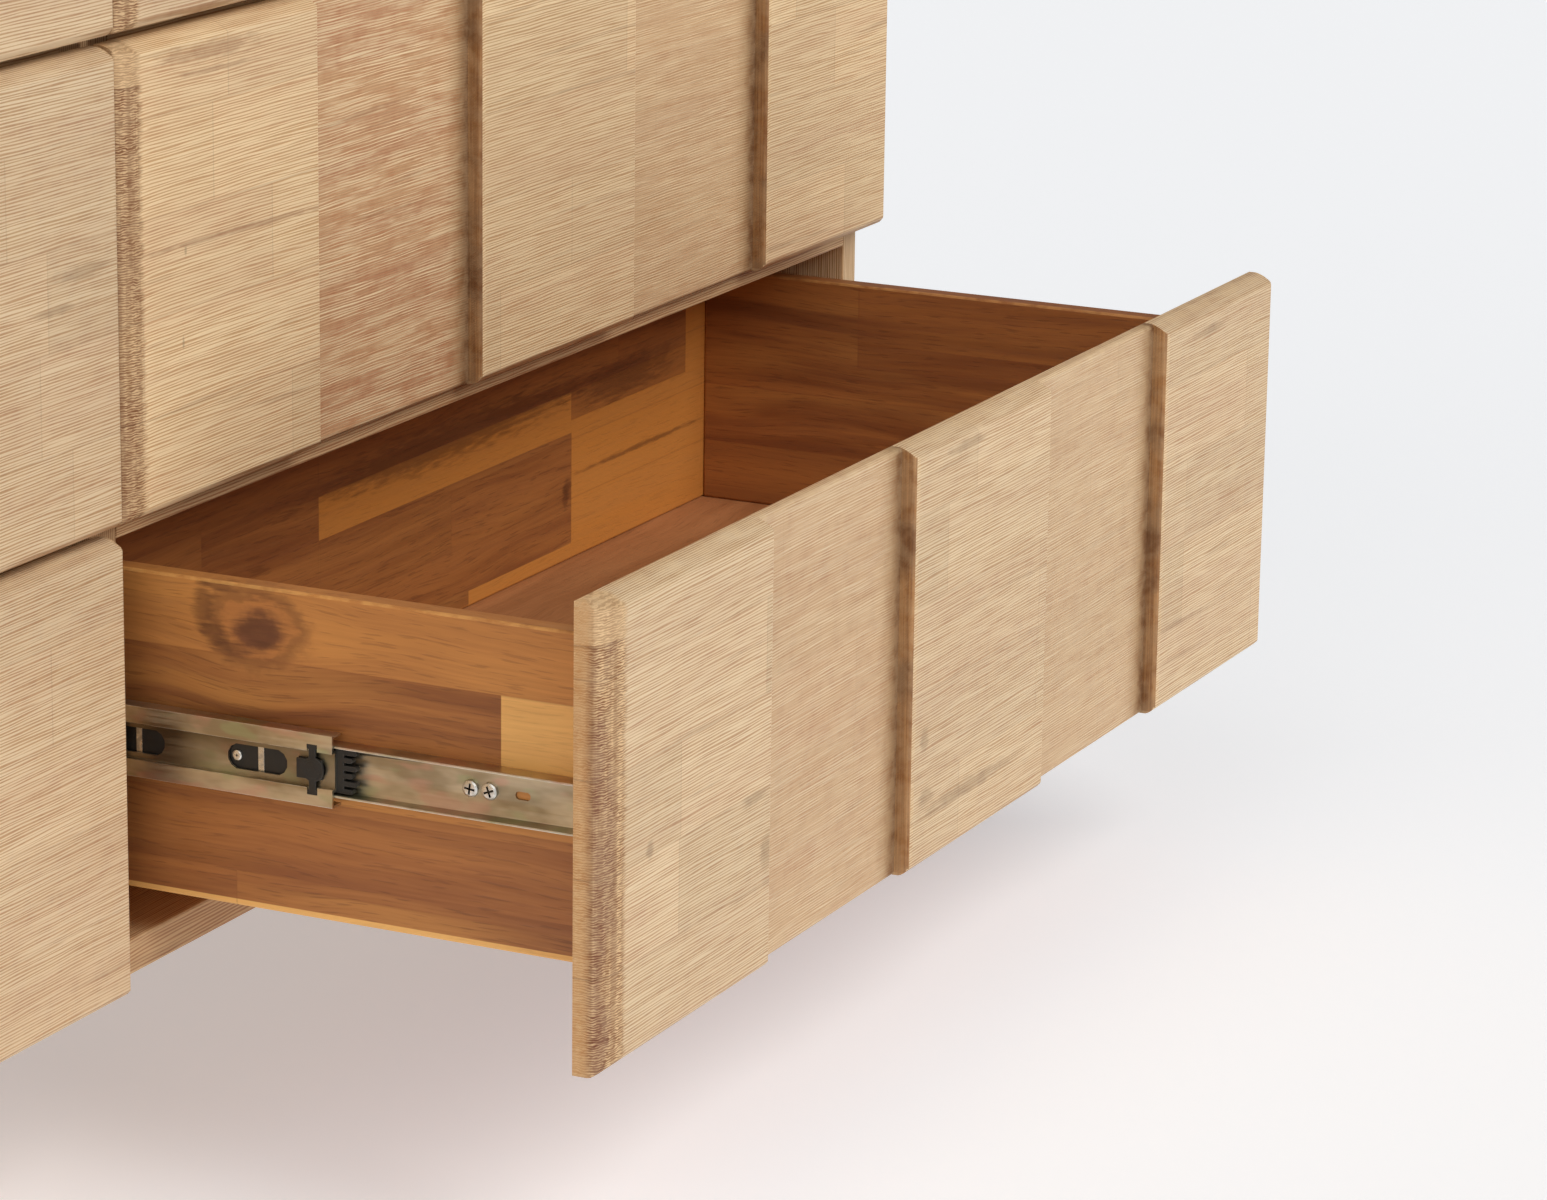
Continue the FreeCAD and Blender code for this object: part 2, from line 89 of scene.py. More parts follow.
def paint(red: int, green: int, blue: int) -> Colour:
    """Turns a colour picked on a screen into the linear one that a shader takes.

    Args:
        red: Red, from 0 to 255.
        green: Green, from 0 to 255.
        blue: Blue, from 0 to 255.

    Returns:
        The linear colour with full alpha.
    """
    def linear(level: int) -> float:
        """Undoes the screen's curve for one channel."""
        part = level / 255
        return part / 12.92 if part <= 0.04045 else ((part + 0.055) / 1.055) ** 2.4

    return linear(red), linear(green), linear(blue), 1.0


# ------------------------------------------------------------------ node trees

class Wire:
    """A number, vector or colour in a node tree. Arithmetic on it adds the nodes that work it out."""

    def __init__(self, sketch: "Sketch", socket: bpy.types.NodeSocket) -> None:
        """Keeps the sketch that gets the nodes, and the socket that the wire comes from."""
        self.sketch, self.socket = sketch, socket

    def apply(self, operation: str, *others: object) -> "Wire":
        """Joins this wire and the others, in that order, by one operation."""
        return self.sketch.arithmetic(operation, self, *others)

    def __add__(self, other: object) -> "Wire":
        """Adds a number or a vector."""
        return self.apply("ADD", other)

    def __sub__(self, other: object) -> "Wire":
        """Takes a number or a vector away."""
        return self.apply("SUBTRACT", other)

    def __rsub__(self, other: float) -> "Wire":
        """Takes this wire away from a number."""
        return self.sketch.arithmetic("SUBTRACT", other, self)

    def __mul__(self, other: object) -> "Wire":
        """Multiplies by a number or, axis by axis, by a vector."""
        return self.apply("MULTIPLY", other)

    def __truediv__(self, other: object) -> "Wire":
        """Divides by a number or, axis by axis, by a vector."""
        return self.apply("DIVIDE", other)

    def __abs__(self) -> "Wire":
        """Drops the sign."""
        return self.apply("ABSOLUTE")

    def most(self, other: object) -> "Wire":
        """Takes the larger of two numbers."""
        return self.apply("MAXIMUM", other)

    def least(self, other: object) -> "Wire":
        """Takes the smaller of two numbers."""
        return self.apply("MINIMUM", other)

    def length(self) -> "Wire":
        """Works out the length of a vector."""
        return self.sketch.wire("ShaderNodeVectorMath", {0: self}, "Value", operation="LENGTH")

    def axes(self) -> tuple["Wire", ...]:
        """Splits a vector into its X, Y and Z."""
        made = self.sketch.node("ShaderNodeSeparateXYZ", {0: self})
        return tuple(Wire(self.sketch, socket) for socket in made.outputs)

    def step(self, low: object, high: object) -> "Wire":
        """Rises smoothly from 0 at the low value to 1 at the high one."""
        return self.sketch.wire("ShaderNodeMapRange", {"Value": self, "From Min": low, "From Max": high},
                                interpolation_type="SMOOTHSTEP")

    def fall(self, low: object, high: object) -> "Wire":
        """Falls smoothly from 1 at the low value to 0 at the high one."""
        return 1.0 - self.step(low, high)

    def between(self, low: object, high: object) -> "Wire":
        """Carries 0 to 1 over to the range from low to high."""
        return self.sketch.wire("ShaderNodeMapRange", {"Value": self, "To Min": low, "To Max": high})

    def noise(self, scale: Point, detail: float = 2.0, rough: float = 0.5) -> "Wire":
        """Reads a noise at this place, whose cells are stretched.

        Args:
            scale: Cells a metre along X, Y and Z.
            detail: Octaves of finer noise.
            rough: How strong the finer octaves are.

        Returns:
            The noise, about 0.5 in the mean.
        """
        return self.sketch.wire("ShaderNodeTexNoise", {"Vector": self * scale, "Scale": 1.0,
                                                       "Detail": detail, "Roughness": rough})

    def chance(self) -> "Wire":
        """Draws a number from 0 to 1 that depends on this place alone."""
        return self.sketch.wire("ShaderNodeTexWhiteNoise", {0: self}, noise_dimensions="3D")

    def tinted(self, amount: object, colour: object) -> "Wire":
        """Blends this colour towards another by an amount from 0 to 1."""
        return self.sketch.mix(amount, self, colour)

    def shaded(self, level: "Wire") -> "Wire":
        """Brightens or darkens this colour by a factor."""
        grey = self.sketch.wire("ShaderNodeCombineColor", {0: level, 1: level, 2: level})
        return self.sketch.mix(1.0, self, grey, "MULTIPLY")


class Sketch:
    """A node tree with short calls that add its nodes and join them."""

    def __init__(self, tree: bpy.types.NodeTree) -> None:
        """Keeps the tree that the calls add to."""
        self.tree = tree

    def node(self, kind: str, values: Values | None = None, **settings: object) -> bpy.types.Node:
        """Adds one node.

        Args:
            kind: Blender's name of the node type.
            values: What each input socket gets: a wire, or a plain value.
            settings: Properties of the node itself.

        Returns:
            The new node.
        """
        made = self.tree.nodes.new(kind)
        for name, value in settings.items():
            setattr(made, name, value)
        for name, value in (values or {}).items():
            if isinstance(value, Wire):
                self.tree.links.new(value.socket, made.inputs[name])
            else:
                made.inputs[name].default_value = value
        return made

    def wire(self, kind: str, values: Values | None = None, output: int | str = 0,
             **settings: object) -> Wire:
        """Adds one node and returns one of its outputs, which is the first unless named."""
        return Wire(self, self.node(kind, values, **settings).outputs[output])

    def arithmetic(self, operation: str, *terms: object) -> Wire:
        """Joins numbers by one operation, or vectors where a term is one."""
        vectors = any(isinstance(term, Wire) and term.socket.type == "VECTOR" for term in terms)
        kind = "ShaderNodeVectorMath" if vectors else "ShaderNodeMath"
        return self.wire(kind, dict(enumerate(terms)), operation=operation)

    def joined(self, x: object, y: object, z: object) -> Wire:
        """Makes a vector of three numbers."""
        return self.wire("ShaderNodeCombineXYZ", {0: x, 1: y, 2: z})

    def mix(self, factor: object, first: object, second: object, blend: str = "MIX") -> Wire:
        """Blends two colours by a factor."""
        return self.wire("ShaderNodeMix", {0: factor, 6: first, 7: second}, 2, data_type="RGBA",
                         blend_type=blend)

    def place(self, effect: bpy.types.NodeTree, **values: object) -> dict[str, Wire]:
        """Adds an effect's group with its own values and returns its outputs by name."""
        made = self.node("ShaderNodeGroup", values, node_tree=effect)
        return {socket.name: Wire(self, socket) for socket in made.outputs}

    def mark(self, name: str) -> Wire:
        """Reads a number that the pieces carry on their faces."""
        return self.wire("ShaderNodeAttribute", {}, "Fac", attribute_name=name)

    def spot(self) -> Wire:
        """Reads a point of the object in its own coordinates."""
        return self.wire("ShaderNodeTexCoord", {}, "Object")


class Coat(Sketch):
    """The node tree of a new material with one Principled shader."""

    def __init__(self, name: str, **fixed: float | Colour) -> None:
        """Starts the material.

        Args:
            name: The material's name.
            fixed: Plain values of the shader's own sockets, with _ for a space.
        """
        self.material = bpy.data.materials.new(name)
        self.material.use_nodes = True
        super().__init__(self.material.node_tree)
        self.shader = self.tree.nodes["Principled BSDF"]
        for label, value in fixed.items():
            self.shader.inputs[label.replace("_", " ")].default_value = value


class Effects:
    """The shader groups that the finishes share, each built once."""

    def __init__(self) -> None:
        """Builds every group."""
        self.brushed_grain = self._group(self._brushed_grain, Vector="Vector", Wave="Float")
        self.staves = self._group(self._staves, Vector="Vector", Length="Float", Height="Float",
                                  Seed="Float")
        self.figure = self._group(self._oiled_figure, Vector="Vector", Flow="Float")
        self.worn_edge = self._group(self._worn_edge, Vector="Vector", Edge="Float", Amount="Float")
        self.patch, self.smudge, self.knot = (
            self._group(draw, Vector="Vector", Centre="Vector", Half="Vector")
            for draw in (self._stave_patch, self._smudge, self._knot))

    @staticmethod
    def _group(draw: Callable[..., dict[str, Wire]], **inputs: str) -> bpy.types.NodeTree:
        """Builds one group, which is named after what draws it.

        Args:
            draw: Takes the sketch and the inputs, adds the nodes, and returns the outputs by name.
            inputs: The inputs' names and types, Vector or Float.

        Returns:
            The group's tree.
        """
        tree = bpy.data.node_groups.new(draw.__name__.lstrip("_"), "ShaderNodeTree")
        for label, kind in inputs.items():
            tree.interface.new_socket(label, in_out="INPUT", socket_type="NodeSocket" + kind)
        sketch = Sketch(tree)
        given = sketch.node("NodeGroupInput").outputs
        results = draw(sketch, *(Wire(sketch, given[label]) for label in inputs))
        for label in results:
            tree.interface.new_socket(label, in_out="OUTPUT", socket_type="NodeSocketFloat")
        sketch.node("NodeGroupOutput", results)
        return tree

    @staticmethod
    def _brushed_grain(s: Sketch, place: Wire, wave: Wire) -> dict[str, Wire]:
        """Wire-brushed wood: pale filler in fine open grain, broad bands and darker veins."""
        drift = place.noise((4, 20, 9), 1) - 0.5
        ripple = place.noise((30, 60, 70), 1) - 0.5
        grain = place + s.joined(0.0, 0.0, drift * wave + ripple * (wave * 0.18))
        _, depth, across = grain.axes()
        turns = across * 4200.0 + depth * 3600.0 + grain.noise((15, 140, 360), 1) * 9.0
        line = turns.apply("SINE") * 0.5 + 0.5
        streak = line * 0.60 + grain.noise((28, 220, 620), 1) * 0.80
        broken = grain.noise((20, 90, 300), 1).step(0.44, 0.60)
        return {"Streak": streak.step(0.40, 0.84), "Thread": line.step(0.72, 0.96) * broken,
                "Fleck": grain.noise((150, 420, 900), 2, 0.6).step(0.52, 0.66),
                "Patch": grain.noise((17, 70, 150), 3, 0.65).step(0.43, 0.58),
                "Band": grain.noise((3, 22, 40), 3, 0.6).step(0.34, 0.68),
                "Vein": grain.noise((7, 40, 170), 2, 0.6).step(0.62, 0.76)}

    @staticmethod
    def _staves(s: Sketch, place: Wire, length: Wire, height: Wire, seed: Wire) -> dict[str, Wire]:
        """Boards glued up of staves: a chance tone and tint for each stave, and its glue lines."""
        x, _, z = place.axes()
        upward = z / height
        row = upward.apply("FLOOR")
        along = x / length + s.joined(row, seed, 0.5).chance() * 9.0
        cell = s.joined(along.apply("FLOOR"), row, seed)

        def gap(value: Wire, size: Wire) -> Wire:
            """Works out the distance to the nearer end of a stave."""
            part = value.apply("FRACT")
            return part.least(1.0 - part) * size

        nearest = gap(upward, height).least(gap(along, length))
        return {"Tone": cell.chance(), "Tint": (cell + (11.3, 4.7, 2.1)).chance(),
                "Joint": nearest.fall(0.0001, 0.0007)}

    @staticmethod
    def _oiled_figure(s: Sketch, place: Wire, flow: Wire) -> dict[str, Wire]:
        """Oiled wood: flowing figure, short dark pores and broad flames of colour."""
        drift = place.noise((5, 16, 11), 2) - 0.5
        grain = place + s.joined(0.0, 0.0, drift * flow)
        return {"Figure": grain.noise((3.5, 20, 70), 4, 0.68).step(0.34, 0.66),
                "Pores": grain.noise((60, 300, 900), 1).step(0.57, 0.70),
                "Flame": grain.noise((5, 18, 34), 3).step(0.42, 0.68),
                "Lines": grain.noise((12, 90, 640), 2, 0.6).step(0.40, 0.64)}

    @staticmethod
    def _stave_patch(_: Sketch, place: Wire, centre: Wire, half: Wire) -> dict[str, Wire]:
        """A crisp rectangle across the grain, for one listed stave."""
        x, _, z = (abs(place - centre) - half).axes()
        edge = x.most(z)
        return {"Mask": edge.fall(-0.0002, 0.0002), "Rim": abs(edge).fall(0.0001, 0.0008)}

    @staticmethod
    def _smudge(_: Sketch, place: Wire, centre: Wire, half: Wire) -> dict[str, Wire]:
        """A soft ragged spot or stripe that darkens the wood."""
        ragged = place.noise((60, 60, 420), 3, 0.6) - 0.5
        reach = ((place - centre) / half).length() + ragged * 1.5
        return {"Mask": reach.fall(0.35, 1.05)}

    @staticmethod
    def _knot(_: Sketch, place: Wire, centre: Wire, half: Wire) -> dict[str, Wire]:
        """A knot: uneven rings round a dark heart, fading into grain that parts round it."""
        apart = place - centre
        offset = (apart / half).length()
        ragged = place.noise((38, 38, 60), 4, 0.65) - 0.5
        reach = offset + ragged * 1.1
        return {"Mask": reach.fall(0.55, 1.25), "Rings": (reach * 9.0).apply("SINE").step(-0.9, 1.0),
                "Heart": reach.fall(0.15, 0.65),
                "Parting": offset.fall(0.3, 2.4) * -0.35 * apart.axes()[2]}

    @staticmethod
    def _worn_edge(_: Sketch, place: Wire, edge: Wire, amount: Wire) -> dict[str, Wire]:
        """Wear along the arrises that the pieces mark, broken up by a fine noise."""
        broken = place.noise((90, 90, 90), 3, 0.6).step(0.30, 0.62)
        return {"Wear": edge * broken * amount}


# ------------------------------------------------------------------ finishes

@dataclass(frozen=True)
class Mark:
    """A spot on a board: where it is along and up the board, and how far it reaches."""

    along: float
    up: float
    half_length: float
    half_height: float
    half_depth: float = 10.0

    @property
    def centre(self) -> Point:
        """The middle of the mark in the board's own axes."""
        return self.along, 0.0, self.up

    def on(self, s: Sketch, effect: bpy.types.NodeTree, local: Wire) -> dict[str, Wire]:
        """Adds an effect where the mark lies and returns its outputs."""
        half = (self.half_length, self.half_depth, self.half_height)
        return s.place(effect, Vector=local, Centre=self.centre, Half=half)


@dataclass(frozen=True)
class Seat:
    """Where a board's own axes lie, so that a pattern starts at its corner."""

    corner: Point = (0.0, 0.0, 0.0)
    grain: Grain = Grain.ALONG_X
    seed: float = 0.0

    def local(self, s: Sketch) -> Wire:
        """Adds the nodes that give a point in the board's own axes.

        Args:
            s: The material's sketch.

        Returns:
            Along the grain in X, through the board in Y, and across it in Z.
        """
        moved = s.wire("ShaderNodeMapping", {"Vector": s.spot(),
                                             "Location": tuple(-level for level in self.corner)})
        axes = dict(zip("XYZ", moved.axes()))
        return s.joined(*(axes[axis] for axis in self.grain.value))

    def scattered(self, local: Wire) -> Wire:
        """Shifts the board's axes by its seed, so that no two boards are alike."""
        return local + (self.seed * 3.71, self.seed * 1.93, self.seed * 5.17)


@dataclass(frozen=True, kw_only=True)
class Finish:
    """What all finishes share: how far their edges wear, and how rough and raised they are."""

    effects: Effects
    wear: float = 0.40
    rough: Spot = (0.58, 0.72)
    relief: float = 0.35
    relief_depth: float = 0.0004
    sunken: bool = False

    def close(self, s: Coat, place: Wire, colour: Wire, bare: Colour, rough: Wire,
              relief: Wire) -> Material:
        """Joins what a finish has worked out to its shader.

        Args:
            s: The material's sketch.
            place: Where the wear's noise is read.
            colour: The colour before any wear.
            bare: The colour that shows where an edge is worn.
            rough: The roughness.
            relief: The height of the surface, or its depth in a sunken finish.

        Returns:
            The finished material.
        """
        wear = s.place(self.effects.worn_edge, Vector=place, Edge=s.mark("worn"), Amount=self.wear)
        bump = s.wire("ShaderNodeBump", {"Strength": self.relief, "Distance": self.relief_depth,
                                         "Height": relief}, invert=self.sunken)
        worn = colour.tinted(wear["Wear"], bare)
        for label, wire in (("Base Color", worn), ("Roughness", rough), ("Normal", bump)):
            s.tree.links.new(wire.socket, s.shader.inputs[label])
        return s.material


@dataclass(frozen=True, kw_only=True)
class BrushedWood(Finish):
    """Wire-brushed pale hardwood with filler in its grain, as on all outer faces."""

    seat: Seat
    wear: float = 0.30
    pinkness: float = 0.70
    filler: Spot = (0.94, 0.76)
    threads: float = 0.85
    stave_length: float = 0.21
    stave_height: float = 0.047
    wave: float = 0.004
    cream: Colour = paint(230, 206, 170)
    tan: Colour = paint(182, 143, 102)
    pink: Colour = paint(179, 133, 102)
    vein: Colour = paint(139, 104, 76)
    worn: Colour = paint(226, 196, 152)

    def face(self, s: Sketch, local: Wire) -> tuple[Wire, Wire]:
        """Adds the nodes of the brushed face.

        Args:
            s: The material's sketch.
            local: The board's own axes.

        Returns:
            The colour, and the height of the brushed grain from 0 to 1.
        """
        grain = s.place(self.effects.brushed_grain, Vector=self.seat.scattered(local), Wave=self.wave)
        stave = s.place(self.effects.staves, Vector=local, Length=self.stave_length,
                        Height=self.stave_height, Seed=self.seat.seed)
        pinker = grain["Band"] * 0.65 + stave["Tint"] * 0.35
        body = s.mix(pinker * self.pinkness, self.tan, self.pink)
        filled = grain["Streak"] * grain["Band"].between(*self.filler)
        filled = filled.most(grain["Thread"] * self.threads)
        colour = body.tinted(filled, self.cream).tinted(grain["Vein"] * 0.30, self.vein)
        colour = colour.shaded(stave["Tone"].between(0.93, 1.05))
        colour = colour.tinted(stave["Joint"] * 0.22, self.vein)
        return colour, filled * 0.8 + grain["Fleck"] * 0.2

    def material(self, name: str) -> Material:
        """Builds the material of a plain board in this finish."""
        s = Coat(name, Specular_IOR_Level=0.35)
        local = self.seat.local(s)
        colour, height = self.face(s, local)
        return self.close(s, local, colour, self.worn, height.between(*self.rough), height)


@dataclass(frozen=True, kw_only=True)
class BlockFrontWood(BrushedWood):
    """The brushed wood of a block front, with its sunk bays, end grain and smooth cheeks."""

    wear: float = 0.40
    width: float = 0.835
    thickness: float = 0.015
    bays: tuple[Spot, ...] = ((0.176, 0.3385), (0.5105, 0.673))
    bay_pinkness: Spot = (0.55, 0.45)
    bay_wave: float = 0.007
    bay_pink: Colour = paint(190, 128, 88)
    # Brush stain and painted shadow of the step at each bay's right end: reach, amount and colour.
    step_stain_and_shadow: tuple[tuple[float, float, Colour], ...] = ((0.036, 0.88, paint(140, 98, 54)),
                                                          (0.016, 0.66, paint(92, 56, 33)))
    stains: tuple[Mark, ...] = ()
    stain: Colour = paint(146, 116, 88)
    veins: tuple[Mark, ...] = ()
    vein_brown: Colour = paint(158, 114, 82)
    vein_tilt: float = -0.022
    end_reach: float = 0.018
    end_dark: float = 0.45
    end_pale: Colour = paint(226, 190, 144)
    end_brown: Colour = paint(142, 99, 60)
    end_tan: Colour = paint(190, 140, 88)
    end_red: Colour = paint(108, 56, 38)
    end_rungs: float = 5000.0
    top_stave: float = 0.2035
    cheek_brown: Colour = paint(143, 97, 56)
    cheek_light: Colour = paint(174, 126, 78)
    cheek_dark: Colour = paint(92, 56, 33)

    def _end_grain(self, s: Sketch, local: Wire) -> tuple[Wire, Wire]:
        """Adds short pale dashes over brown, darker in an upright band round the corner.

        Args:
            s: The material's sketch.
            local: The board's own axes.

        Returns:
            The colour, and where this finish lies.
        """
        point = self.seat.scattered(local)
        x, y, z = local.axes()
        turns = point.axes()[2] * self.end_rungs + point.noise((210, 210, 420), 1) * 11.0
        dashes = turns.apply("SINE") * 0.22 + point.noise((220, 220, 560), 2, 0.6)
        dashes = dashes.step(0.36, 0.66)
        bands = point.noise((260, 260, 7), 3, 0.6).step(0.36, 0.64)
        blots = point.noise((60, 60, 14), 3, 0.6).step(0.30, 0.52)
        stave = s.place(self.effects.staves, Vector=local, Length=5.0, Height=self.stave_height,
                        Seed=self.seat.seed + 0.5)
        round_corner = self.thickness - y + x
        heavy = abs(round_corner - 0.018).fall(0.005, 0.015)
        beside = round_corner.fall(0.006, 0.011)
        light_top = z.step(self.top_stave + 0.0005, self.top_stave + 0.0011)
        pale = dashes * bands.between(1.0, 0.46)
        pale = pale.most(light_top * dashes.between(0.40, 0.85)) * beside.between(1.0, 0.60)
        colour = s.mix(beside, self.end_brown, self.end_tan).tinted(pale, self.end_pale)
        dark = heavy * blots * stave["Tone"].between(0.75, 1.0)
        dark = dark * light_top.between(self.end_dark, self.end_dark * 0.15)
        colour = colour.tinted(dark * dashes.between(0.95, 0.40), self.end_red)
        glue = abs(z - self.top_stave).fall(0.0002, 0.0008)
        colour = colour.tinted((stave["Joint"] * 0.35).most(glue * 0.30), self.cheek_dark)
        ragged = (point.noise((60, 60, 700), 2) - 0.5) * 0.009
        left = (x + ragged).fall(self.end_reach - 0.005, self.end_reach)
        return colour, left.most(x.step(self.width - 0.0022, self.width - 0.0006))

    def _cheek(self, s: Sketch, local: Wire) -> Wire:
        """Adds the smooth brown of the blocks' cheeks, finely lined upwards.

        Args:
            s: The material's sketch.
            local: The board's own axes.

        Returns:
            The colour.
        """
        point = self.seat.scattered(local)
        lines = point.noise((900, 900, 16), 2, 0.6).step(0.35, 0.65)
        blots = point.noise((30, 30, 26), 3, 0.6).step(0.44, 0.66)
        return s.mix(lines, self.cheek_brown, self.cheek_light).tinted(blots * 0.62, self.cheek_dark)

    def _bay(self, s: Sketch, local: Wire, pinkness: float) -> Wire:
        """Adds the brushed face of a sunk bay, which keeps its filler in patches.

        Args:
            s: The material's sketch.
            local: The board's own axes.
            pinkness: How pink the bay is, from 0 to 1.

        Returns:
            The colour.
        """
        point = self.seat.scattered(local) + (0.7, 0.2, 0.4)
        grain = s.place(self.effects.brushed_grain, Vector=point, Wave=self.bay_wave)
        body = s.mix(grain["Band"].between(0.55 * pinkness, pinkness), self.tan, self.bay_pink)
        patchy = grain["Patch"].between(0.68 - 0.50 * pinkness, 0.70 + 0.06 * pinkness)
        light = (grain["Streak"] * patchy).most(grain["Thread"])
        deep = body.tinted(light, self.cream).tinted(grain["Vein"] * 0.25, self.vein)
        return deep.shaded(grain["Band"].between(1.0, 0.93))

    def _beside_cheeks(self, across: Wire, reach: float) -> Wire:
        """Adds the mask of the brush stain and painted shadow at each bay's right end, beside the step.

        Args:
            across: The distance from the front's left end.
            reach: How far from the cheek the mask reaches.

        Returns:
            The mask.
        """
        masks = []
        for _, high in self.bays:
            left = high - across
            near = left.fall(0.001, reach)
            masks.append(near * near * left.apply("GREATER_THAN", 0.0))
        return masks[0].most(masks[1])

    def material(self, name: str) -> Material:
        """Builds the material of one block front.

        Args:
            name: The material's name.

        Returns:
            The material.
        """
        s = Coat(name, Specular_IOR_Level=0.35)
        local = self.seat.local(s)
        across = local.axes()[0]
        colour, height = self.face(s, local)
        for (low, high), pinkness in zip(self.bays, self.bay_pinkness):
            inside = across.apply("COMPARE", (low + high) / 2, (high - low) / 2)
            strength = min(1.0, pinkness * 0.9 + 0.1)
            colour = colour.tinted(inside * strength, self._bay(s, local, pinkness))
        # Darkens each bay's right end beside the step: partly brush stain, partly painted shadow that the
        # step casts.
        for reach, amount, brown in self.step_stain_and_shadow:
            colour = colour.tinted(self._beside_cheeks(across, reach) * amount, brown)
        for stain in self.stains:
            mask = stain.on(s, self.effects.smudge, local)["Mask"]
            colour = colour.tinted(mask * 0.50, self.stain)
        for vein in self.veins:
            tilted = s.wire("ShaderNodeVectorRotate", {"Vector": local, "Center": vein.centre,
                                                       "Angle": self.vein_tilt}, rotation_type="Y_AXIS")
            mask = vein.on(s, self.effects.smudge, tilted)["Mask"]
            colour = colour.tinted(mask * 0.55, self.vein_brown)
        end_colour, at_end = self._end_grain(s, local)
        cheek = s.mark("cheek")
        colour = colour.tinted(at_end, end_colour).tinted(cheek, self._cheek(s, local))
        rough = height.between(*self.rough) - cheek * 0.14
        return self.close(s, local, colour, self.worn, rough, height)


@dataclass(frozen=True, kw_only=True)
class OiledWood(Finish):
    """Oiled brown hardwood glued up of staves, as in the drawer boxes."""

    seat: Seat
    rough: Spot = (0.42, 0.56)
    relief: float = 0.18
    relief_depth: float = 0.0003
    sunken: bool = True
    stave_length: float = 0.80
    stave_height: float = 0.035
    lowest_joint: float = 0.025
    flow: float = 0.022
    variety: float = 0.5
    pale_staves: tuple[Mark, ...] = ()
    dark_staves: tuple[Mark, ...] = ()
    knots: tuple[Mark, ...] = ()
    burns_and_shade: tuple[Mark, ...] = ()
    brown: Colour = paint(182, 118, 62)
    dark: Colour = paint(138, 82, 44)
    orange: Colour = paint(200, 138, 72)
    sapwood: Colour = paint(222, 166, 98)
    heart: Colour = paint(86, 48, 28)
    plum: Colour = paint(104, 58, 44)

    def material(self, name: str) -> Material:
        """Builds the material of one board of a drawer box.

        Args:
            name: The material's name.

        Returns:
            The material.
        """
        s = Coat(name, Specular_IOR_Level=0.45)
        local = self.seat.local(s)
        stave = s.place(self.effects.staves, Vector=local - (0.0, 0.0, self.lowest_joint),
                        Length=self.stave_length, Height=self.stave_height, Seed=self.seat.seed)
        point = self.seat.scattered(local) + s.joined(stave["Tone"] * 2.0, 0.0, stave["Tint"] * 3.0)
        knots = [knot.on(s, self.effects.knot, local) for knot in self.knots]
        for knot in knots:
            point = point + s.joined(0.0, 0.0, knot["Parting"])
        figure = s.place(self.effects.figure, Vector=point, Flow=self.flow)
        body = s.mix(figure["Figure"], self.brown, self.dark).tinted(figure["Flame"] * 0.70, self.orange)
        tone = (stave["Tone"] - 0.5) * self.variety
        body = body.tinted(tone.step(0.02, 0.30), self.orange).shaded(tone * 0.55 + 1.0)
        plain = stave["Tone"].between(1.0, 0.7)
        for pale in self.pale_staves:
            mask = pale.on(s, self.effects.patch, local)["Mask"]
            body = body.tinted(mask, s.mix(figure["Figure"] * 0.30, self.sapwood, self.orange))
            plain = plain * mask.between(1.0, 0.35)
        for deep in self.dark_staves:
            patch = deep.on(s, self.effects.patch, local)
            shade = s.mix(figure["Figure"].between(0.35, 1.0), self.brown, self.dark)
            body = body.tinted(patch["Mask"] * 0.72, shade).tinted(patch["Rim"] * 0.35, self.dark)
        for knot in knots:
            rings = s.mix(knot["Rings"] * 0.75, self.brown, self.heart)
            body = body.tinted(knot["Mask"] * 0.88, rings.tinted(knot["Heart"] * 0.80, self.plum))
        # Burns darken the wood; the list also holds painted shade where a board lies in shadow.
        for burn in self.burns_and_shade:
            body = body.tinted(burn.on(s, self.effects.smudge, local)["Mask"] * 0.58, self.heart)
        body = body.tinted(figure["Lines"] * (plain * 0.20), self.dark)
        body = body.tinted(figure["Pores"] * (plain * 0.34), self.heart)
        body = body.tinted(stave["Joint"] * 0.30, self.dark)
        rough = figure["Lines"].between(*self.rough)
        return self.close(s, local, body, self.sapwood, rough, figure["Pores"])


@dataclass(frozen=True, kw_only=True)
class ThinBoard(Finish):
    """A thin veneered board, as in the drawer bottoms and the chest's back."""

    seat: Seat
    wear: float = 0.5
    rough: Spot = (0.58, 0.70)
    relief: float = 0.2
    relief_depth: float = 0.0003
    flow: float = 0.05
    light: Colour = paint(196, 136, 88)
    dark: Colour = paint(160, 104, 62)
    pores: Colour = paint(112, 70, 42)

    def material(self, name: str) -> Material:
        """Builds the material of a thin board.

        Args:
            name: The material's name.

        Returns:
            The material.
        """
        s = Coat(name, Specular_IOR_Level=0.3)
        local = self.seat.local(s)
        point = self.seat.scattered(local)
        figure = s.place(self.effects.figure, Vector=point, Flow=self.flow)
        cloud = point.noise((4, 4, 5), 3, 0.6).step(0.35, 0.66)
        colour = s.mix(figure["Figure"] * 0.6, self.light, self.dark).tinted(cloud * 0.35, self.dark)
        colour = colour.tinted(figure["Pores"] * 0.25, self.pores)
        lines = figure["Lines"]
        return self.close(s, local, colour, self.light, lines.between(*self.rough), lines)


